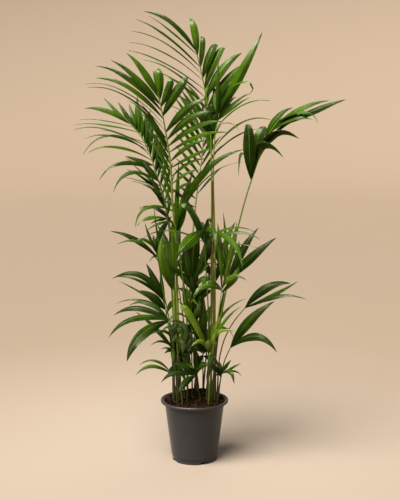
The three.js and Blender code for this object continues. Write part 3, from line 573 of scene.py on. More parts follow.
            (635, (-45, -30, 100), -20, 24, 0.8, 0.2),
            (595, (-40, -40, -55), 45, 22, 0.7, 0.2),
            (620, (15, -20, 125), -25, 20, 0.8, 0.2),
        ],
    ),
    Frond(
        "frond_back_low", foot=(0, 68), stem=6, tone=MID,
        spine=[(5, 96, 300), (10, 140, 420)],
        leaves=[
            (415, (-140, 60, -10), 65, 26, 0.2),
            (415, (-65, 90, 115), 15, 26, 0.2),
            (415, (65, 100, 110), 15, 26, 0.2),
            (415, (135, 70, -15), 65, 26, 0.2),
            (415, (15, 150, -70), 65, 26, 0),
            (415, (-55, -40, -80), 35, 24, 0.7, 0.2),
            (415, (-40, -30, 120), 10, 24, 0.8, 0.2),
            (415, (55, -30, -65), 35, 24, 0.7, 0.2),
        ],
    ),
]

# ---- Settings ----------------------------------------------------------------------------


def length(name, description, default):
    return FloatProperty(name=name, description=description, default=default, unit="LENGTH")


def fraction(name, description, default):
    return FloatProperty(
        name=name, description=description, default=default, min=0, max=1, subtype="FACTOR"
    )


def angle_setting(name, description, degrees):
    return FloatProperty(
        name=name, description=description, default=math.radians(degrees), subtype="ANGLE"
    )


def colour(name, description, default):
    return FloatVectorProperty(
        name=name, description=description, default=default, min=0, max=1, subtype="COLOR"
    )


class PotSettings(bpy.types.PropertyGroup):
    height: length("Height", "From the floor to the rim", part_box("pot")[1].z)
    rim_radius: length("Rim radius", "Outside of the rolled rim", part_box("pot")[1].x)
    wall_top_radius: length("Wall top radius", "Outside of the wall under the rim", 0.106)
    wall_foot_radius: length("Wall foot radius", "Outside of the wall above the base", 0.081)
    base_radius: length("Base radius", "Outside of the base ring", 0.078)
    sides: IntProperty(name="Sides", description="Flat faces round the pot", default=96)
    plastic: colour("Plastic", "Colour of the pot", (0.022, 0.022, 0.024))


class SoilSettings(bpy.types.PropertyGroup):
    chips: IntProperty(name="Chips", description="Pieces of bark on the soil", default=760)
    crumbs: IntProperty(name="Crumbs", description="Small crumbs on the soil", default=700)
    chip_length: length("Chip length", "Longest bark chip", 0.011)
    peat: colour("Peat", "Colour of the soil between the chips", (0.002, 0.0012, 0.0008))
    bark: colour("Bark", "Colour of the lighter chips", (0.055, 0.024, 0.010))


class StickSettings(bpy.types.PropertyGroup):
    cane_diameter: length("Cane diameter", "Thickness of the cane", 0.007)
    knots: IntProperty(name="Knots", description="Knots along the cane", default=6)
    cane: colour("Cane", "Colour of the cane", (0.150, 0.105, 0.022))
    cane_foot: colour("Cane foot", "Colour of the cane near the soil", (0.210, 0.125, 0.055))
    sheath: colour("Sheath", "Colour of the dry sheaths", (0.10, 0.055, 0.025))


class FrondSettings(bpy.types.PropertyGroup):
    blade: length("Blade thickness", "Thickness of a leaflet along its midrib", 0.0009)
    fold: fraction("Fold", "How far a midrib stands above the margins", 0.44)
    wave: fraction("Wave", "How far the margins wave, as a share of half the width", 0.12)
    # The blend from dark to bright follows the tone, which is partly age and partly painted shade and
    # sheen.
    dark: colour("Dark", "Oldest leaflets", (0.005, 0.017, 0.001))
    middle: colour("Middle", "Grown leaflets", (0.034, 0.084, 0.002))
    bright: colour("Bright", "Youngest leaflets", (0.115, 0.170, 0.014))
    under: colour("Underside", "Underside of the leaflets", (0.040, 0.080, 0.010))
    stalk: colour("Stalk", "Stems of the fronds", (0.180, 0.245, 0.012))
    husk: colour("Husk", "Foot of the stems and dry tips", (0.016, 0.015, 0.004))


class StageSettings(bpy.types.PropertyGroup):
    floor_reach: length("Floor reach", "How far the floor is flat", 7.0)
    cove: length("Cove", "Radius of the curve where the floor turns up", 3.5)
    # Floor and far floor are painted light: the floor is lighter round the pot than farther away.
    floor: colour("Floor", "Colour of the floor round the pot", (0.262, 0.218, 0.175))
    far_floor_painted_dim: colour("Far floor", "Colour of the floor farther away", (0.202, 0.158, 0.117))
    camera_place: FloatVectorProperty(
        name="Camera", description="Place of the camera", default=(0.0195, -4.5, 1.538),
        subtype="TRANSLATION", unit="LENGTH",
    )
    camera_tilt: angle_setting("Tilt", "How far the camera looks down", 9.85)
    lens: FloatProperty(name="Lens", description="Focal length in millimetres", default=94.4)
    sun: FloatProperty(name="Sun", description="Strength of the main light", default=10.7)
    sun_width: angle_setting("Sun width", "How wide the main light looks, which softens shadows", 42)
    side: FloatProperty(name="Side", description="Power of the side light in watts", default=30)
    top: FloatProperty(name="Top", description="Power of the top light in watts", default=35)
    air: FloatProperty(name="Air", description="Strength of the light all round", default=0.08)


# ---- Working with Blender's own tools ----------------------------------------------------


def shape_from(add, name, **options):
    """A new primitive, alone in the selection, under the given name."""
    bpy.ops.object.select_all(action="DESELECT")
    add(**options)
    piece = bpy.context.object
    piece.name = piece.data.name = name
    bpy.ops.object.transform_apply(location=True, rotation=True, scale=True)
    return piece


@contextmanager
def editing(piece):
    bpy.context.view_layer.objects.active = piece
    bpy.ops.object.mode_set(mode="EDIT")
    bpy.ops.mesh.select_mode(type="VERT")
    yield
    bpy.ops.object.mode_set(mode="OBJECT")


def select_corners(piece, test):
    """In edit mode, selects the corners whose place passes the test, and nothing else."""
    bpy.ops.mesh.select_all(action="DESELECT")
    shape = bmesh.from_edit_mesh(piece.data)
    for corner in shape.verts:
        corner.select = test(corner.co)
    shape.select_flush(True)
    bmesh.update_edit_mesh(piece.data)


def select_edges(piece, test):
    """In edit mode, selects the edges whose two ends pass the test, and nothing else."""
    bpy.ops.mesh.select_all(action="DESELECT")
    shape = bmesh.from_edit_mesh(piece.data)
    for edge in shape.edges:
        edge.select = test(edge.verts[0].co, edge.verts[1].co)
    bmesh.update_edit_mesh(piece.data)


def finish_with(piece, kind, **settings):
    """Adds a modifier with these settings and applies it."""
    bpy.context.view_layer.objects.active = piece
    modifier = piece.modifiers.new(kind.title(), kind)
    for key, value in settings.items():
        setattr(modifier, key, value)
    bpy.ops.object.modifier_apply(modifier=modifier.name)


def places(mesh):
    spots = np.empty(3 * len(mesh.vertices))
    mesh.vertices.foreach_get("co", spots)
    return spots.reshape(-1, 3)


def copy_of(master, spots, tone):
    """A copy of master with its own mesh, its corners moved to spots, in one tone."""
    copy = master.copy()
    copy.data = master.data.copy()
    bpy.context.scene.collection.objects.link(copy)
    copy.data.vertices.foreach_set("co", np.asarray(spots, np.float32).ravel())
    attribute = copy.data.attributes.new("tone", "FLOAT", "POINT")
    attribute.data.foreach_set("value", np.full(len(spots), tone, np.float32))
    return copy


def joined(name, parts, smooth_angle):
    """One piece made of all the parts, smooth except at sharp edges."""
    bpy.ops.object.select_all(action="DESELECT")
    for part in parts:
        part.select_set(True)
    bpy.context.view_layer.objects.active = parts[0]
    if len(parts) > 1:
        bpy.ops.object.join()
    piece = bpy.context.object
    piece.name = piece.data.name = name
    bpy.ops.object.shade_smooth_by_angle(angle=smooth_angle)
    return piece


def settle(piece, node):
    """The piece stands for a node of the construction and takes its place."""
    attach(piece, "root")
    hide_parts(node)


def drop(*masters):
    for master in masters:
        mesh = master.data
        bpy.data.objects.remove(master)
        bpy.data.meshes.remove(mesh)


def draw(seed):
    """A repeatable draw between -1 and 1."""
    raw = math.sin(seed * 12.9898) * 43758.5453
    return 2 * (raw - math.floor(raw)) - 1


# ---- Materials ---------------------------------------------------------------------------


class Finish:
    """A material whose nodes are added one call each."""

    def __init__(self, name, roughness, **values):
        self.material = bpy.data.materials.new(name)
        self.material.use_nodes = True
        self.tree = self.material.node_tree
        self.surface = self.tree.nodes["Principled BSDF"]
        self.wear("Roughness", roughness)
        for key, value in values.items():
            self.wear(key.replace("_", " "), value)

    def feed(self, socket, value):
        """Links another node's output to the socket, or sets the socket's own number."""
        if isinstance(value, bpy.types.NodeSocket):
            self.tree.links.new(value, socket)
        else:
            socket.default_value = value

    def wear(self, key, value):
        self.feed(self.surface.inputs[key], value)

    def node(self, kind, output, inputs=(), **settings):
        node = self.tree.nodes.new(kind)
        for key, value in settings.items():
            setattr(node, key, value)
        for key, value in dict(inputs).items():
            self.feed(node.inputs[key], value)
        return node.outputs[output]

    def place(self):
        return self.node("ShaderNodeTexCoord", "Object")

    def height(self):
        return self.node("ShaderNodeSeparateXYZ", "Z", {0: self.place()})

    def uv(self):
        """How far across and how far along the shape a point lies, each from 0 to 1."""
        split = self.tree.nodes.new("ShaderNodeSeparateXYZ")
        self.feed(split.inputs[0], self.node("ShaderNodeUVMap", "UV", uv_map="UVMap"))
        return split.outputs["X"], split.outputs["Y"]

    def tone(self):
        return self.node("ShaderNodeAttribute", "Fac", attribute_name="tone")

    def maths(self, operation, a, b=0.0):
        return self.node("ShaderNodeMath", 0, {0: a, 1: b}, operation=operation)

    def between(self, value, low, high, to_low=0.0, to_high=1.0):
        """value's way from low to high, as a smooth number from to_low to to_high."""
        inputs = {"Value": value, 1: low, 2: high, 3: to_low, 4: to_high}
        return self.node("ShaderNodeMapRange", "Result", inputs, interpolation_type="SMOOTHSTEP")

    def stretched(self, vector, scale):
        return self.node("ShaderNodeMapping", "Vector", {"Vector": vector, "Scale": scale})

    def noise(self, vector, scale, detail=3.0):
        inputs = {"Vector": vector, "Scale": scale, "Detail": detail}
        return self.node("ShaderNodeTexNoise", "Fac", inputs)

    def mix(self, share, a, b):
        """Colour a where share is 0, and colour b where it is 1."""
        node = self.tree.nodes.new("ShaderNodeMix")
        node.data_type = "RGBA"
        used = {socket.name: socket for socket in node.inputs if socket.enabled}
        for key, value in {"Factor": share, "A": rgba(a), "B": rgba(b)}.items():
            self.feed(used[key], value)
        return next(socket for socket in node.outputs if socket.enabled)

    def bump(self, height, distance):
        inputs = {"Height": height, "Distance": distance}
        self.wear("Normal", self.node("ShaderNodeBump", "Normal", inputs))


def rgba(value):
    return value if isinstance(value, bpy.types.NodeSocket) else (*value, 1)


VEINS = 8
VEIN_RELIEF = 0.0004
LIGHT_IN_LEAF = {
    "Subsurface_Weight": 0.15,
    "Subsurface_Scale": 0.002,
    "Subsurface_Radius": (0.7, 1.0, 0.15),
}


def leaf_colour(finish, settings, tone):
    """From the dark of old leaflets over the grown ones' green to the young ones' yellow."""
    grown = finish.mix(finish.between(tone, 0, 0.5), settings.dark, settings.middle)
    return finish.mix(finish.between(tone, 0.5, 1), grown, settings.bright)


def vein_lines(finish, across):
    """Lengthwise veins as a number from 0, between them, to 1, on them."""
    turned = finish.maths("MULTIPLY", across, 2 * math.pi * VEINS)
    return finish.between(finish.maths("COSINE", turned), 0.55, 1)


def from_midrib(finish, across):
    """How far a point lies from the midrib, as a share of the leaflet's width."""
    return finish.maths("ABSOLUTE", finish.maths("SUBTRACT", across, 0.5))


def with_dry_tip(finish, settings, along, green):
    return finish.mix(finish.between(along, 0.955, 0.99, 0, 0.85), green, settings.husk)


def leaf_top(settings):
    """Waxy and clouded green, with painted shade darkening it towards the root, pale veins and a raised
    midrib.
    """
    finish = Finish("Leaflet upper face", 0.4, Specular_Tint=(0.95, 1, 0.7, 1), **LIGHT_IN_LEAF)
    across, along = finish.uv()
    from_rib = from_midrib(finish, across)
    veins = vein_lines(finish, across)
    clouds = finish.noise(finish.place(), 22)
    tone = finish.maths("ADD", finish.tone(), finish.maths("MULTIPLY", clouds, 0.5))
    tone = finish.maths("SUBTRACT", tone, 0.24)
    green = leaf_colour(finish, settings, tone)
    pale_veins = finish.maths("MULTIPLY", veins, 0.16)
    green = finish.mix(pale_veins, green, settings.bright)
    pale_rib = finish.between(from_rib, 0.05, 0.015, 0, 0.25)
    green = finish.mix(pale_rib, green, settings.stalk)
    # Painted shade: each leaflet darkens towards its root, inside the clump.
    painted_root_shade = finish.between(along, 0.5, 0.05, 0, 0.75)
    green = finish.mix(painted_root_shade, green, settings.dark)
    finish.wear("Base Color", with_dry_tip(finish, settings, along, green))
    finish.wear("Roughness", finish.between(clouds, 0.25, 0.75, 0.22, 0.35))
    wax = finish.between(along, 0.4, 0.85, 0.06, 0.55)
    dull_tip = finish.between(along, 0.95, 0.85, 0.1, 1)
    finish.wear("Specular IOR Level", finish.maths("MULTIPLY", wax, dull_tip))
    raised_rib = finish.between(from_rib, 0.06, 0.0, 0, 1.6)
    finish.bump(finish.maths("ADD", veins, raised_rib), VEIN_RELIEF)
    return finish.material


def leaf_under(settings):
    """Dull and paler, with the same veins and a stronger midrib."""
    finish = Finish("Leaflet underside", 0.6, Specular_IOR_Level=0.12, **LIGHT_IN_LEAF)
    across, along = finish.uv()
    from_rib = from_midrib(finish, across)
    veins = vein_lines(finish, across)
    green = leaf_colour(finish, settings, finish.tone())
    green = finish.mix(0.45, green, settings.under)
    pale_veins = finish.maths("MULTIPLY", veins, 0.2)
    green = finish.mix(pale_veins, green, settings.bright)
    pale_rib = finish.between(from_rib, 0.06, 0.02, 0, 0.6)
    green = finish.mix(pale_rib, green, settings.stalk)
    finish.wear("Base Color", with_dry_tip(finish, settings, along, green))
    raised_rib = finish.between(from_rib, 0.07, 0.0, 0, 2.0)
    finish.bump(finish.maths("ADD", veins, raised_rib), VEIN_RELIEF)
    return finish.material


def stalk(settings):
    """Green with browner streaks along the stem, and painted shade that darkens it towards the soil."""
    finish = Finish("Frond stem", 0.42, Specular_IOR_Level=0.25)
    streaks = finish.noise(finish.stretched(finish.place(), (260, 260, 9)), 1)
    # Stems of darker fronds are darker: partly their age, partly painted shade on fronds deep in the
    # clump.
    lightness = finish.between(finish.tone(), 0.05, 0.6)
    green = finish.mix(lightness, settings.middle, settings.stalk)
    brown_streaks = finish.between(streaks, 0.4, 0.75, 0, 0.3)
    green = finish.mix(brown_streaks, green, settings.husk)
    # Painted shade: the stems darken, in the husk's colour, from about 0.65 m down to the soil.
    painted_shade_low = finish.between(finish.height(), 0.65, 0.25, 0, 0.8)
    finish.wear("Base Color", finish.mix(painted_shade_low, green, settings.husk))
    finish.bump(streaks, 0.0005)
    return finish.material


def pot_plastic(settings):
    """Black plastic with a fine grain, a little dust and a rim rubbed bright."""
    finish = Finish("Pot plastic", 0.3)
    cloud = finish.noise(finish.place(), 9, 5.0)
    grain = finish.noise(finish.place(), 900, 2.0)
    dust = finish.between(cloud, 0.5, 0.8, 0, 0.05)
    finish.wear("Base Color", finish.mix(dust, settings.plastic, (0.07, 0.06, 0.05)))
    finish.wear("Roughness", finish.between(cloud, 0.3, 0.7, 0.27, 0.36))
    dull, rubbed = settings.height - 6 * MM, settings.height - 2 * MM
    rubbed_rim = finish.between(finish.height(), dull, rubbed, 0.28, 0.5)
    finish.wear("Specular IOR Level", rubbed_rim)
    finish.bump(grain, 0.00005)
    return finish.material


def bark_and_peat(settings):
    finish = Finish("Bark and peat", 0.95, Specular_IOR_Level=0.03)
    crumbs = finish.noise(finish.place(), 420, 6.0)
    crumb_tone = finish.between(crumbs, 0.3, 0.8, -0.25, 0.3)
    tone = finish.maths("ADD", finish.tone(), crumb_tone)
    finish.wear("Base Color", finish.mix(tone, settings.peat, settings.bark))
    finish.bump(crumbs, 0.0012)
    return finish.material


def dry_wood(name, base, foot):
    """Fibres in the colour base, with dark furrows and pale patches, and foot near the soil."""
    finish = Finish(name, 0.7, Specular_IOR_Level=0.15)
    fibres = finish.noise(finish.stretched(finish.place(), (700, 700, 14)), 1, 5.0)
    cloud = finish.noise(finish.place(), 30)
    near_soil = finish.between(finish.height(), 0.42, 0.3)
    wood = finish.mix(near_soil, base, foot)
    furrow = [0.45 * c for c in base]
    brown = finish.mix(finish.between(fibres, 0.3, 0.75), furrow, wood)
    lighter = [min(1, 1.5 * c) for c in base]
    pale_patches = finish.between(cloud, 0.5, 0.8, 0, 0.5)
    finish.wear("Base Color", finish.mix(pale_patches, brown, lighter))
    finish.bump(fibres, 0.0006)
    return finish.material


def pale_floor(settings):
    """Painted light: lighter round the pot than farther away, a painted pool of light, and very faintly
    clouded.
    """
    finish = Finish("Pale floor", 0.75, Specular_IOR_Level=0.2)
    cloud = finish.noise(finish.place(), 1.2, 4.0)
    away = finish.node("ShaderNodeVectorMath", "Value", {0: finish.place()}, operation="LENGTH")
    # Painted light: a pool of light round the pot, fading to the dimmer far floor.
    floor_with_painted_light = finish.mix(finish.between(away, 0.3, 2.0), settings.floor, settings.far_floor_painted_dim)
    faint = finish.maths("MULTIPLY", cloud, 0.1)
    finish.wear("Base Color", finish.mix(faint, floor_with_painted_light, (0.13, 0.1, 0.07)))
    return finish.material


# ---- Pot ---------------------------------------------------------------------------------

RIM_SKIRT = 8 * MM  # height of the rim's outside
RIM_ROLL = 2.5 * MM  # radius of its rolled edge
DRAIN_COUNT = 4
FIRST_DRAIN = -64  # degrees from the front
DRAIN_WIDTH, DRAIN_DEPTH, DRAIN_HEIGHT = 0.025, 0.010, 0.008


def pot_rings(sizes):
    """(radius, height) of each ring of the pot, up the outside, over the rim, down inside."""
    skirt, top, roll = sizes.height - RIM_SKIRT, sizes.height, RIM_ROLL
    base_ring = [
        (sizes.base_radius - 1.2 * MM, 0.0),
        (sizes.base_radius, 1.2 * MM),
        (sizes.base_radius, (BASE_RING_HEIGHT - 1.4) * MM),
        (sizes.base_radius + 0.6 * MM, (BASE_RING_HEIGHT - 0.2) * MM),
    ]
    wall = [
        (sizes.wall_foot_radius - 0.8 * MM, (BASE_RING_HEIGHT + 0.3) * MM),
        (sizes.wall_foot_radius, (BASE_RING_HEIGHT + 1.6) * MM),
        (sizes.wall_foot_radius + 1.4 * MM, (BASE_RING_HEIGHT + 9) * MM),
        (sizes.wall_top_radius - 0.8 * MM, skirt - 8 * MM),
    ]
    step_line = [
        (sizes.wall_top_radius - 0.4 * MM, skirt - 7 * MM),
        (sizes.wall_top_radius + 1.2 * MM, skirt - 6 * MM),
        (sizes.wall_top_radius + 2.2 * MM, skirt + 3 * MM),
    ]
    under_rim = [
        (sizes.wall_top_radius + 4.0 * MM, top - 4 * MM),
        (sizes.rim_radius - 3.2 * MM, top - 4 * MM),
        (sizes.rim_radius - 2.2 * MM, top - 5 * MM),
        (sizes.rim_radius - 1.9 * MM, skirt + 0.5 * MM),
        (sizes.rim_radius - 1.0 * MM, skirt),
        (sizes.rim_radius - 0.2 * MM, skirt + 0.7 * MM),
    ]
    arc = [math.radians(15 + 25 * i) for i in range(4)]
    lip = [(sizes.rim_radius - roll + roll * math.cos(a), top - roll + roll * math.sin(a)) for a in arc]
    rim_slope = [
        (sizes.rim_radius - 5.0 * MM, top - 0.2 * MM),
        (sizes.rim_radius - 7.0 * MM, top - 1.4 * MM),
        (sizes.wall_top_radius + 2.7 * MM, top - 2.6 * MM),
        (sizes.wall_top_radius + 0.9 * MM, top - 5.0 * MM),
    ]
    inside = [
        (sizes.wall_top_radius - WALL * MM, skirt - 7 * MM),
        (sizes.wall_foot_radius - WALL * MM, (BASE_RING_HEIGHT + 2) * MM),
        (sizes.base_radius - WALL * MM, BASE_RING_HEIGHT * MM),
        (sizes.base_radius - WALL * MM, FLOOR * MM),
    ]
    return base_ring + wall + step_line + under_rim + lip + rim_slope + inside


def model_pot(sizes):
    """A disc drawn up ring by ring, over the rim and down the inside, with drain notches."""
    rings = pot_rings(sizes)
    radius, height = rings[0]
    pot = shape_from(
        bpy.ops.mesh.primitive_circle_add, "nursery_pot",
        vertices=sizes.sides, radius=radius, fill_type="NGON", location=(0, 0, height),
    )
    with editing(pot):
        bpy.ops.mesh.select_all(action="SELECT")
        for new_radius, new_height in rings[1:]:
            rise = (0, 0, new_height - height)
            bpy.ops.mesh.extrude_region_move(TRANSFORM_OT_translate={"value": rise})
            grow = new_radius / radius
            bpy.ops.transform.resize(value=(grow, grow, 1), center_override=(0, 0, new_height))
            radius, height = new_radius, new_height
        bpy.ops.mesh.select_all(action="SELECT")
        bpy.ops.mesh.normals_make_consistent(inside=False)
    for i in range(DRAIN_COUNT):
        cutter = drain_cutter(sizes.base_radius, math.radians(FIRST_DRAIN + 360 / DRAIN_COUNT * i))
        finish_with(pot, "BOOLEAN", object=cutter, operation="DIFFERENCE", solver="EXACT")
        drop(cutter)
    return pot


def drain_cutter(away, turned):
    """A block with softened edges, half of it in the base ring and half of it outside."""
    cutter = shape_from(bpy.ops.mesh.primitive_cube_add, "drain", size=1)
    with editing(cutter):
        bpy.ops.mesh.select_all(action="SELECT")
        bpy.ops.transform.resize(value=(DRAIN_WIDTH, 2 * DRAIN_DEPTH, 2 * DRAIN_HEIGHT))
        bpy.ops.mesh.bevel(offset=0.0015, segments=2)
    turn = Quaternion(UP, turned)
    cutter.data.transform(turn.to_matrix().to_4x4())
    for corner in cutter.data.vertices:
        corner.co += turn @ Vector((0, -away, 0))
    return cutter


# ---- Soil --------------------------------------------------------------------------------

CLIMB = 6  # how far the loose top rises at the pot, in millimetres
CLIMB_FROM, CLIMB_TO = 80, 104  # distances from the middle between which it rises
LOOSE_EDGE = 3  # how far it reaches past the soil of the construction, in millimetres
BED_RINGS, BED_SIDES = 26, 72
BED_FOOT = 74  # radius of the soil at the pot's floor, in millimetres
CRUMBLE = 2.2  # how far the surface is broken up, in millimetres
CRUMBS_PER_METRE = 90


def soil_height(x, y):
    """Height of the soil at a place, all in millimetres."""
    away = ((x - MOUND_CENTRE[0]) ** 2 + (y - MOUND_CENTRE[1]) ** 2) / (2 * MOUND_SPREAD**2)
    lump = math.sin(LUMP_WAVE[0] * x + 1) * math.cos(LUMP_WAVE[1] * y)
    return SOIL_LEVEL + MOUND_HEIGHT * math.exp(-away) + LUMP_HEIGHT * lump


def loose_height(x, y):
    """The soil's height with its loose top, which climbs a little where it meets the pot."""
    climb = (math.hypot(x, y) - CLIMB_FROM) / (CLIMB_TO - CLIMB_FROM)
    return soil_height(x, y) + CLIMB * min(1, max(0, climb)) ** 2


def model_soil_bed(radius):
    """The soil as a disc with many rings, pushed up to the mound, its side going down."""
    thickness = 0.1
    bed = shape_from(
        bpy.ops.mesh.primitive_circle_add, "soil_bed",
        vertices=BED_SIDES, radius=radius, fill_type="NGON", location=(0, 0, 0),
    )
    with editing(bed):
        bpy.ops.mesh.select_all(action="SELECT")
        bpy.ops.mesh.extrude_region_move(TRANSFORM_OT_translate={"value": (0, 0, thickness)})
        for _ in range(BED_RINGS - 1):
            bpy.ops.mesh.inset(thickness=radius / BED_RINGS)
        bpy.ops.mesh.select_all(action="SELECT")
        bpy.ops.mesh.normals_make_consistent(inside=False)
    narrower = BED_FOOT / (radius / MM)
    for corner in bed.data.vertices:
        if corner.co.z < thickness / 2:
            corner.co.x *= narrower
            corner.co.y *= narrower
            corner.co.z = (FLOOR + 1) * MM
        else:
            x, y, _ = corner.co / MM
            crumb = noise.fractal(corner.co * CRUMBS_PER_METRE, 0.8, 2.1, 5)
            corner.co.z = (loose_height(x, y) + CRUMBLE * crumb) * MM
    return bed


def model_chip(name, seed):
    """A broken bit of bark: a flat block whose corners are knocked out of true."""
    chip = shape_from(bpy.ops.mesh.primitive_cube_add, name, size=1)
    with editing(chip):
        bpy.ops.mesh.select_all(action="SELECT")
        bpy.ops.mesh.subdivide(number_cuts=1)
        bpy.ops.transform.resize(value=(1, 0.5, 0.26))
    for i, corner in enumerate(chip.data.vertices):
        knock = Vector((draw(seed + i), draw(seed + i + 0.3), draw(seed + i + 0.6)))
        corner.co += Vector((0.13 * knock.x, 0.08 * knock.y, 0.05 * knock.z))
    return chip


def scatter(masters, count, longest, shortest, reach, seed):
    """Copies of the masters lying on the soil, turned and tilted each in its own way."""
    chips = []
    for i in range(count):
        chance = [0.5 + 0.5 * draw(seed + 7.3 * i + k) for k in range(6)]
        away, around = reach * math.sqrt(chance[0]), 2 * math.pi * chance[1]
        x, y = away * math.cos(around), away * math.sin(around)
        size = shortest + (longest - shortest) * chance[2] ** 2
        turn = Quaternion(UP, 2 * math.pi * chance[3]) @ Quaternion((1, 0, 0), chance[4] - 0.5)
        turn = turn @ Quaternion((0, 1, 0), 0.9 * (chance[5] - 0.5))
        heaped = 0.3 * chance[0] * size
        centre = Vector((x, y, loose_height(x / MM, y / MM) * MM + heaped))
        master = masters[i % len(masters)]
        matrix = np.array(turn.to_matrix()) * size
        spots = places(master.data) @ matrix.T + np.array(centre)
        chips.append(copy_of(master, spots, 0.05 + 0.9 * chance[5] ** 2))
    return chips


# ---- Ways through space, in millimetres --------------------------------------------------

WAY_STEPS = 200


def unit(vector):
    return vector / np.linalg.norm(vector)


def steps_of(line):
    return np.linalg.norm(np.diff(line, axis=0), axis=1)


def walked_along(line):
    """How far along the line each of its points lies."""
    return np.concatenate([[0], np.cumsum(steps_of(line))])


def spaced(points, count):
    """count + 1 points evenly along a smooth way through the points."""
    walked = walked_along(smooth_way(points, WAY_STEPS))
    wanted = np.linspace(0, walked[-1], count + 1)
    shares = np.interp(wanted, walked, np.linspace(0, 1, len(walked)))
    return np.array([point_on(points, share) for share in shares])


def smooth_way(points, count):
    return np.array([point_on(points, i / count) for i in range(count + 1)])


def point_on(points, share):
    """The point at a share of the way, on a centripetal Catmull-Rom curve."""
    stretch = min(int(share * (len(points) - 1)), len(points) - 2)
    t = share * (len(points) - 1) - stretch
    a, b = points[stretch], points[stretch + 1]
    before = points[stretch - 1] if stretch > 0 else 2 * points[0] - points[1]
    after = points[stretch + 2] if stretch + 2 < len(points) else 2 * points[-1] - points[-2]
    gaps = [math.sqrt(np.linalg.norm(q - p)) for p, q in ((before, a), (a, b), (b, after))]
    out = (a - before) / gaps[0] - (b - before) / (gaps[0] + gaps[1]) + (b - a) / gaps[1]
    on = (b - a) / gaps[1] - (after - a) / (gaps[1] + gaps[2]) + (after - b) / gaps[2]
    out, on = out * gaps[1], on * gaps[1]
    bend, pull = -3 * a + 3 * b - 2 * out - on, 2 * a - 2 * b + out + on
    return a + out * t + bend * t**2 + pull * t**3


class Spine:
    """The way of a frond's stem and midrib."""

    STEP = 18

    def __init__(self, frond):
        self.low = np.array([*frond.foot, soil_height(*frond.foot) + COLLAR], float)
        marks = [self.low, *(np.array(point, float) for point in frond.spine)]
        self.length = steps_of(smooth_way(marks, WAY_STEPS)).sum()
        self.line = spaced(marks, max(12, round(self.length / self.STEP)))
        self.foot_radius = frond.stem / 2
        self.tip_radius = max(STEM_TIP_LEAST, frond.stem * STEM_TIP_SHARE) / 2

    def at_height(self, z):
        """The point at a height, or the last one where that is higher."""
        above = next((i for i, point in enumerate(self.line) if point[2] >= z), None)
        if above is None:
            return self.line[-1]
        low, high = self.line[above - 1], self.line[above]
        return low + (high - low) * (z - low[2]) / (high[2] - low[2])


# ---- Fronds ------------------------------------------------------------------------------

LEAFLET_STEPS = 12  # rows of faces along a leaflet
ROOT_SHARE = 0.12  # its width at the root, as a share of the widest place
CURL_FROM, CURL_TO = 0.6, 0.9  # shares of its length between which it bends under
CURL_STRETCH = 0.16  # how much longer it is for each radian of its curl
TWIST = 0.35  # how far its tip may turn about its own length, in radians
RIPPLES = 1.6  # waves along each margin
THIN_MARGIN = 0.55  # how much thinner the margin is than the midrib
PLEATED_WIDTH = 37  # a leaflet this wide has pleats
STRAP_CURL = 0.7  # a leaflet that curls more than this keeps its width longer
TUFT_STEP = 1.5  # between the roots of the single leaflets of one frond, in millimetres
TONE_SPREAD = 0.2  # how far a leaflet's tone may lie from its frond's

STEM_SIDES = 10
STEM_RING_STEP = 22  # in millimetres
FEWEST_RINGS, MOST_RINGS = 12, 60
STEM_WAIST = 0.74  # thickness above the foot, as a share of what the frond's stem says
FOOT_SWELL, FOOT_SWELL_HEIGHT = 0.3, 45  # the foot's added share, and where it has faded

# faces: across the blade. widest: where along it. growth, taper: how it swells up to there
# and narrows from there. pleats: their depth as a share of half the width.
Blade = namedtuple("Blade", "faces widest growth taper pleats")
POINTED = Blade(4, 0.42, 1.9, 1.55, 0)
STRAP = Blade(4, 0.55, 2.4, 2.3, 0)
SPEAR = Blade(8, 0.58, 1.25, 1.5, 0.05)
PLEATED = Blade(12, 0.45, 1.9, 1.8, 0.06)


def blade_of(leaflet):
    if leaflet.turn == 1:
        return SPEAR
    if leaflet.width >= PLEATED_WIDTH:
        return PLEATED
    return STRAP if leaflet.curl > STRAP_CURL else POINTED


def outline(blade, along):
    """Half the width of a leaflet, as a share of its widest place."""
    if along < blade.widest:
        return 1 - (1 - ROOT_SHARE) * (1 - along / blade.widest) ** blade.growth
    return 1 - ((along - blade.widest) / (1 - blade.widest)) ** blade.taper


def model_leaflet(blade, materials):
    """A flat blade, one unit long and thick, with a pointed tip and a narrow root."""
    master = shape_from(
        bpy.ops.mesh.primitive_grid_add, "blade",
        x_subdivisions=blade.faces, y_subdivisions=LEAFLET_STEPS, size=2, location=(0, 1, 0),
    )
    with editing(master):
        bpy.ops.mesh.select_all(action="SELECT")
        bpy.ops.transform.resize(value=(1, 0.5, 1), center_override=(0, 0, 0))
        for row in range(LEAFLET_STEPS + 1):
            along = row / LEAFLET_STEPS
            select_corners(master, lambda place: abs(place.y - along) < 1e-3)
            narrow = (outline(blade, along), 1, 1)
            bpy.ops.transform.resize(value=narrow, center_override=(0, along, 0))
        bpy.ops.mesh.select_all(action="SELECT")
        bpy.ops.mesh.remove_doubles(threshold=1e-4)
    for material in materials:
        master.data.materials.append(material)
    finish_with(master, "SOLIDIFY", thickness=1, offset=0, material_offset=1)
    return master


def model_bar(name, sides, rings):
    """A straight round bar one unit long and one in radius, cut into rings."""
    bar = shape_from(
        bpy.ops.mesh.primitive_cylinder_add, name,
        vertices=sides, radius=1, depth=1, location=(0, 0, 0.5),
    )
    with editing(bar):
        bpy.ops.mesh.select_mode(type="EDGE")
        select_edges(bar, lambda a, b: abs(a.z - b.z) > 0.5)
        bpy.ops.mesh.subdivide(number_cuts=rings - 1)
    return bar


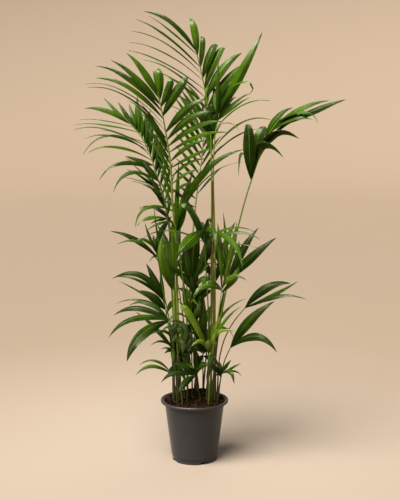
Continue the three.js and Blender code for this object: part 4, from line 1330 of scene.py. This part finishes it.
def model_stem(rings, materials):
    """A bar in the stem's material, its own map running round it and along it."""
    bar = model_bar("stem", STEM_SIDES, rings)
    for material in materials:
        bar.data.materials.append(material)
    for face in bar.data.polygons:
        face.material_index = len(materials) - 1
    spots = places(bar.data)
    layer = bar.data.uv_layers.active.data
    for loop in bar.data.loops:
        x, y, z = spots[loop.vertex_index]
        layer[loop.index].uv = (0.5 + math.atan2(y, x) / (2 * math.pi), z)
    return bar


def laid_stem(master, spine, rings):
    """The corners of a stem's bar laid along the spine, thicker at its foot."""
    buried = spine.low - np.array([0, 0, COLLAR + PLANTING_DEPTH])
    line = np.vstack([buried, spine.line])
    line = line[np.linspace(0, len(line) - 1, rings + 1).round().astype(int)]
    walked = walked_along(line)
    ways = np.gradient(line, axis=0)
    spots = []
    for x, y, z in places(master.data):
        ring = round(z * rings)
        way = unit(ways[ring]) if ring > 1 else np.array([0, 0, 1.0])
        side = unit(np.cross(np.array(BACK), way))
        rise = np.cross(way, side)
        out = max(0, walked[ring] - COLLAR - PLANTING_DEPTH) / spine.length
        radius = spine.tip_radius + (spine.foot_radius - spine.tip_radius) * (1 - out) ** 0.5
        above = max(0, walked[ring] - PLANTING_DEPTH)
        radius *= STEM_WAIST + FOOT_SWELL * math.exp(-above / FOOT_SWELL_HEIGHT)
        spots.append(line[ring] + side * x * radius + rise * y * radius)
    return np.array(spots) * MM


def leaflets_of(frond, number):
    """The leaflets of the frond's rows and then its single ones, each a little lower."""
    found = []
    for r, row in enumerate(frond.rows):
        marks = [Leaflet(*mark) for mark in row.marks]
        heights = [mark.height for mark in marks]
        for i in range(row.count):
            height = heights[0] + (heights[-1] - heights[0]) * i / (row.count - 1)
            uneven = 1 + ROW_UNEVENNESS * draw(100 * number + 20 * r + i)
            reach = [np.interp(height, heights, [mark.reach[k] for mark in marks]) for k in range(3)]
            rest = [np.interp(height, heights, values) for values in list(zip(*marks))[2:]]
            found.append(Leaflet(height, tuple(uneven * np.array(reach)), *rest))
    for i, (height, *rest) in enumerate(frond.leaves):
        found.append(Leaflet(height - TUFT_STEP * i, *rest))
    return found


def turned_about(vector, axis, angle):
    return np.array(Quaternion(Vector(axis), angle) @ Vector(vector))


def leaflet_rings(root, tip, leaflet, seed):
    """(place, side, rise) of each row of a leaflet that arches to its tip and curls over."""
    middle = unit(tip - root)
    level = unit(np.cross(np.array(UP), middle))
    upwards = np.cross(middle, level)
    crest = root + (tip - root) * CREST_PLACE + leaflet.arch * upwards
    facing = np.array([0, -leaflet.turn, 1.1 - abs(leaflet.turn)])  # always a little upwards
    roll = math.atan2(-facing @ level, facing @ upwards)
    stretch = 1 + CURL_STRETCH * leaflet.curl
    place, rings = root, []
    for row in range(LEAFLET_STEPS + 1):
        share = stretch * row / LEAFLET_STEPS
        way = (1 - share) * (crest - root) + share * (tip - crest)
        side = turned_about(level, unit(way), roll + TWIST * draw(seed + 0.5) * share * share)
        curled = min(1, max(0, (row / LEAFLET_STEPS - CURL_FROM) / (CURL_TO - CURL_FROM)))
        way = turned_about(way, side, leaflet.curl * curled**2 * (3 - 2 * curled))
        rings.append((place, side, np.cross(unit(way), side)))
        place = place + 2 * stretch / LEAFLET_STEPS * way
    return rings


def laid_leaflet(master, root, tip, leaflet, settings, seed):
    """The corners of a blade laid along its arch, with its fold, pleats and wavy margins."""
    rings = leaflet_rings(root, tip, leaflet, seed)
    half, blade = leaflet.width / 2, blade_of(leaflet)
    spots = []
    for x, y, z in places(master.data):
        row = round(y * LEAFLET_STEPS)
        narrowed = outline(blade, row / LEAFLET_STEPS)
        across = x / narrowed if narrowed > 1e-6 else 0
        local = half * narrowed
        lift = settings.fold * local * (0.5 - abs(across) ** 1.2)
        lift += blade.pleats * local * math.cos(6 * math.pi * across)
        other_margin = 2 if across > 0 else 0
        ripple = math.sin(2 * math.pi * (RIPPLES * y + draw(seed + 0.2)) + other_margin)
        lift += settings.wave * local * across**2 * ripple
        lift += z * (settings.blade / MM) * (1 - THIN_MARGIN * abs(across))
        place, side, rise = rings[row]
        spots.append(place + side * x * half + rise * lift)
    return np.array(spots) * MM


def model_frond(frond, number, masters, materials, settings):
    """One frond: its stem and midrib with every leaflet, joined."""
    spine = Spine(frond)
    rings = max(FEWEST_RINGS, min(MOST_RINGS, round(spine.length / STEM_RING_STEP)))
    bar = model_stem(rings, materials)
    parts = [copy_of(bar, laid_stem(bar, spine, rings), frond.tone)]
    drop(bar)
    for i, leaflet in enumerate(leaflets_of(frond, number)):
        root = spine.at_height(leaflet.height)
        tip = root + np.array(leaflet.reach)
        master = masters[blade_of(leaflet)]
        seed = 1000 * number + i
        spots = laid_leaflet(master, root, tip, leaflet, settings, seed)
        tone = frond.tone + leaflet.tint + TONE_SPREAD * draw(seed)
        parts.append(copy_of(master, spots, tone))
    return joined("leafy_" + frond.name, parts, smooth_angle=math.radians(30))


# ---- Cane and dry sheaths ----------------------------------------------------------------

CANE_SIDES = 14
CANE_TAPER = 0.2  # how much thinner the top is
# Heights from the middle of a knot, in metres, and how thick the cane is there.
KNOT = [(-0.006, 1.0), (-0.002, 1.14), (0.001, 1.2), (0.004, 1.1), (0.009, 1.0)]

SHEATH_SIDES, SHEATH_RINGS = 16, 14
SHEATH_RADIUS, SHEATH_TAPER = 4.3, 0.35  # in millimetres, and how much narrower at the top
SHEATH_SWELL, SHEATH_SWELL_HEIGHT = 1.6, 20  # the foot's added radius, and where it fades
SHEATH_HOLLOW = 0.45  # depth of the hollow side, as a share of the radius
RAGGED = 9  # how far the torn top goes up and down, in millimetres


def model_cane(sizes):
    """A straight cane, drawn up stretch by stretch, with a swelling at each knot."""
    foot = np.array([*CANE_FOOT, soil_height(*CANE_FOOT) - PLANTING_DEPTH]) * MM
    top = np.array(CANE_TOP) * MM
    surface = soil_height(*CANE_FOOT) * MM
    cane = shape_from(
        bpy.ops.mesh.primitive_circle_add, "cane",
        vertices=CANE_SIDES, radius=sizes.cane_diameter / 2, fill_type="NGON", location=foot,
    )
    bends = surface + COLLAR * MM
    rings = [(bends, 1.0)]
    for k in range(sizes.knots):
        knot = surface + (top[2] - surface) * (k + 0.8 + 0.15 * draw(k)) / (sizes.knots + 0.5)
        rings += [(knot + step, size) for step, size in KNOT]
    rings.append((top[2], 1.0))
    place, size = Vector(foot), 1.0
    with editing(cane):
        bpy.ops.mesh.select_all(action="SELECT")
        for height, swollen in rings:
            up = max(0, (height - bends) / (top[2] - bends))
            new_size = swollen * (1 - CANE_TAPER * up)
            x, y = foot[:2] + (top[:2] - foot[:2]) * up
            new_place = Vector((x, y, height))
            step = new_place - place
            bpy.ops.mesh.extrude_region_move(TRANSFORM_OT_translate={"value": step})
            grow = new_size / size
            bpy.ops.transform.resize(value=(grow, grow, 1), center_override=new_place)
            place, size = new_place, new_size
        bpy.ops.mesh.select_all(action="SELECT")
        bpy.ops.mesh.normals_make_consistent(inside=False)
    return cane


def model_sheath(foot, top, seed):
    """A dry sheath: a bar hollowed along one side, ragged and narrower at the top."""
    surface = soil_height(*foot)
    low = surface - PLANTING_DEPTH
    sheath = model_bar("sheath", SHEATH_SIDES, SHEATH_RINGS)
    for i, corner in enumerate(sheath.data.vertices):
        x, y, z = corner.co
        height = low + (top[2] - low) * z
        lean = max(0, (height - surface - COLLAR) / (top[2] - low))
        swell = SHEATH_SWELL * math.exp(-max(0, height - surface) / SHEATH_SWELL_HEIGHT)
        radius = SHEATH_RADIUS * (1 - SHEATH_TAPER * z) + swell
        hollow = 1 - SHEATH_HOLLOW * max(0, -y) * min(1, 2 * lean)
        ragged = RAGGED * draw(seed + i) if z > 0.99 else 0
        corner.co = Vector((
            foot[0] + (top[0] - foot[0]) * lean + radius * x,
            foot[1] + (top[1] - foot[1]) * lean + radius * y * hollow,
            height + ragged,
        )) * MM
    return sheath


# ---- Stage -------------------------------------------------------------------------------

FLOOR_SIDES, COVE_STEPS = 96, 12
MIDDLE_OF_PALM = Vector((0, 0, 0.8))
SUN_PLACE = (-1.6, -2.0, 5.0)
SIDE_PLACE = (-2.8, -1.2, 1.4)
TOP_PLACE = (0.4, 1.2, 3.6)
LAMP_SIZE = 1.6
WARM, WHITE = (1.0, 0.94, 0.86), (1.0, 0.97, 0.94)
AIR_COLOUR = (1.0, 0.93, 0.85, 1)
SENSOR_WIDTH = 36


def add_floor(settings):
    """A flat round floor whose rim turns up all round in one smooth curve."""
    floor = shape_from(
        bpy.ops.mesh.primitive_circle_add, "floor",
        vertices=FLOOR_SIDES, radius=settings.floor_reach, fill_type="TRIFAN",
    )
    with editing(floor):
        reach, height = settings.floor_reach, 0.0
        select_edges(floor, lambda a, b: min(a.length, b.length) > 0.9 * settings.floor_reach)
        for i in range(COVE_STEPS):
            turned = (i + 1) * math.pi / 2 / COVE_STEPS
            new_reach = settings.floor_reach + settings.cove * math.sin(turned)
            new_height = settings.cove * (1 - math.cos(turned))
            rise = (0, 0, new_height - height)
            bpy.ops.mesh.extrude_edges_move(TRANSFORM_OT_translate={"value": rise})
            grow = new_reach / reach
            bpy.ops.transform.resize(value=(grow, grow, 1), center_override=(0, 0, new_height))
            reach, height = new_reach, new_height
        bpy.ops.mesh.select_all(action="SELECT")
        bpy.ops.mesh.faces_shade_smooth()
    floor.data.materials.append(pale_floor(settings))


def add_light(kind, name, place, power, tint, **settings):
    """A light at a place, turned to the middle of the palm."""
    light = bpy.data.lights.new(name, kind)
    light.energy, light.color = power, tint
    for key, value in settings.items():
        setattr(light, key, value)
    holder = bpy.data.objects.new(name, light)
    holder.location = place
    aim = MIDDLE_OF_PALM - Vector(place)
    holder.rotation_euler = aim.to_track_quat("-Z", "Y").to_euler()
    bpy.context.scene.collection.objects.link(holder)


def add_camera(settings):
    lens = bpy.data.cameras.new("Camera")
    lens.sensor_width = SENSOR_WIDTH
    lens.lens = settings.lens
    camera = bpy.data.objects.new("Camera", lens)
    camera.location = settings.camera_place
    camera.rotation_euler = (math.pi / 2 - settings.camera_tilt, 0, 0)
    bpy.context.scene.collection.objects.link(camera)
    bpy.context.scene.camera = camera


def add_air(settings):
    """A faint even light all round."""
    world = bpy.data.worlds.new("Air")
    bpy.context.scene.world = world
    world.use_nodes = True
    air = world.node_tree.nodes["Background"]
    air.inputs["Color"].default_value = AIR_COLOUR
    air.inputs["Strength"].default_value = settings.air


# ---- Operators ---------------------------------------------------------------------------


class PALM_OT_pot(bpy.types.Operator):
    """Models the nursery pot"""

    bl_idname = "palm.pot"
    bl_label = "Pot"

    def execute(self, context):
        settings = context.scene.palm_pot
        pot = joined("nursery_pot", [model_pot(settings)], smooth_angle=math.radians(35))
        pot.data.materials.clear()
        pot.data.materials.append(pot_plastic(settings))
        settle(pot, "pot")
        return {"FINISHED"}


class PALM_OT_soil(bpy.types.Operator):
    """Models the soil with its bark chips and crumbs"""

    bl_idname = "palm.soil"
    bl_label = "Soil"

    def execute(self, context):
        settings = context.scene.palm_soil
        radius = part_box("soil")[1].x + LOOSE_EDGE * MM
        bed = model_soil_bed(radius)
        masters = [model_chip(f"chip_{i}", 40 * i) for i in range(4)]
        parts = [copy_of(bed, places(bed.data), 0.1)]
        reach = radius - 5 * MM
        longest = settings.chip_length
        parts += scatter(masters, settings.chips, longest, 0.45 * longest, reach, 500)
        parts += scatter(masters, settings.crumbs, 0.4 * longest, 0.2 * longest, reach, 9000)
        drop(bed, *masters)
        soil = joined("bark_soil", parts, smooth_angle=math.radians(40))
        soil.data.materials.clear()
        soil.data.materials.append(bark_and_peat(settings))
        settle(soil, "soil")
        return {"FINISHED"}


class PALM_OT_cane(bpy.types.Operator):
    """Models the support cane"""

    bl_idname = "palm.cane"
    bl_label = "Support cane"

    def execute(self, context):
        settings = context.scene.palm_sticks
        cane = joined("knotted_cane", [model_cane(settings)], smooth_angle=math.radians(40))
        cane.data.materials.append(dry_wood("Cane", settings.cane, settings.cane_foot))
        settle(cane, "support_cane")
        return {"FINISHED"}


class PALM_OT_sheaths(bpy.types.Operator):
    """Models the dry sheaths of fronds that were cut away"""

    bl_idname = "palm.sheaths"
    bl_label = "Dry sheaths"

    def execute(self, context):
        settings = context.scene.palm_sticks
        fibre = dry_wood("Dry sheath", settings.sheath, settings.sheath)
        for i, (node, foot, top) in enumerate(OLD_BASES):
            sheath = model_sheath(foot, top, 60 * i)
            sheath = joined("dry_" + node, [sheath], smooth_angle=math.radians(45))
            sheath.data.materials.append(fibre)
            settle(sheath, node)
        return {"FINISHED"}


class PALM_OT_fronds(bpy.types.Operator):
    """Models every frond with its stem and leaflets"""

    bl_idname = "palm.fronds"
    bl_label = "Fronds"

    def execute(self, context):
        settings = context.scene.palm_fronds
        materials = [leaf_top(settings), leaf_under(settings), stalk(settings)]
        blades = (POINTED, STRAP, SPEAR, PLEATED)
        masters = {blade: model_leaflet(blade, materials) for blade in blades}
        for number, frond in enumerate(FRONDS):
            piece = model_frond(frond, number, masters, materials, settings)
            settle(piece, frond.name)
        drop(*masters.values())
        return {"FINISHED"}


class PALM_OT_stage(bpy.types.Operator):
    """Adds the floor, the lights and the camera"""

    bl_idname = "palm.stage"
    bl_label = "Stage"

    def execute(self, context):
        settings = context.scene.palm_stage
        add_floor(settings)
        add_light("SUN", "Sun", SUN_PLACE, settings.sun, WARM, angle=settings.sun_width)
        add_light("AREA", "Side", SIDE_PLACE, settings.side, WHITE, shape="DISK", size=LAMP_SIZE)
        add_light("AREA", "Top", TOP_PLACE, settings.top, WHITE, shape="DISK", size=LAMP_SIZE)
        add_air(settings)
        add_camera(settings)
        context.scene.view_settings.view_transform = "Standard"
        return {"FINISHED"}


class PALM_PT_panel(bpy.types.Panel):
    """Lists the pieces of the palm"""

    bl_idname = "PALM_PT_panel"
    bl_label = "Potted palm"
    bl_space_type = "VIEW_3D"
    bl_region_type = "UI"
    bl_category = "Palm"

    def draw(self, context):
        for operator in OPERATORS:
            self.layout.operator(operator.bl_idname)
        for name in SETTINGS:
            group = getattr(context.scene, name)
            column = self.layout.box().column()
            for key in group.__annotations__:
                column.prop(group, key)


OPERATORS = [
    PALM_OT_pot, PALM_OT_soil, PALM_OT_cane, PALM_OT_sheaths, PALM_OT_fronds, PALM_OT_stage,
]
SETTINGS = {
    "palm_pot": PotSettings,
    "palm_soil": SoilSettings,
    "palm_sticks": StickSettings,
    "palm_fronds": FrondSettings,
    "palm_stage": StageSettings,
}


def register():
    for group in (*SETTINGS.values(), *OPERATORS, PALM_PT_panel):
        bpy.utils.register_class(group)
    for name, group in SETTINGS.items():
        setattr(bpy.types.Scene, name, PointerProperty(type=group))


def unregister():
    for name in SETTINGS:
        delattr(bpy.types.Scene, name)
    for group in (PALM_PT_panel, *reversed(OPERATORS), *reversed(SETTINGS.values())):
        bpy.utils.unregister_class(group)


def main():
    register()
    for operator in OPERATORS:
        family, name = operator.bl_idname.split(".")
        getattr(getattr(bpy.ops, family), name)()


if __name__ == "__main__":
    main()
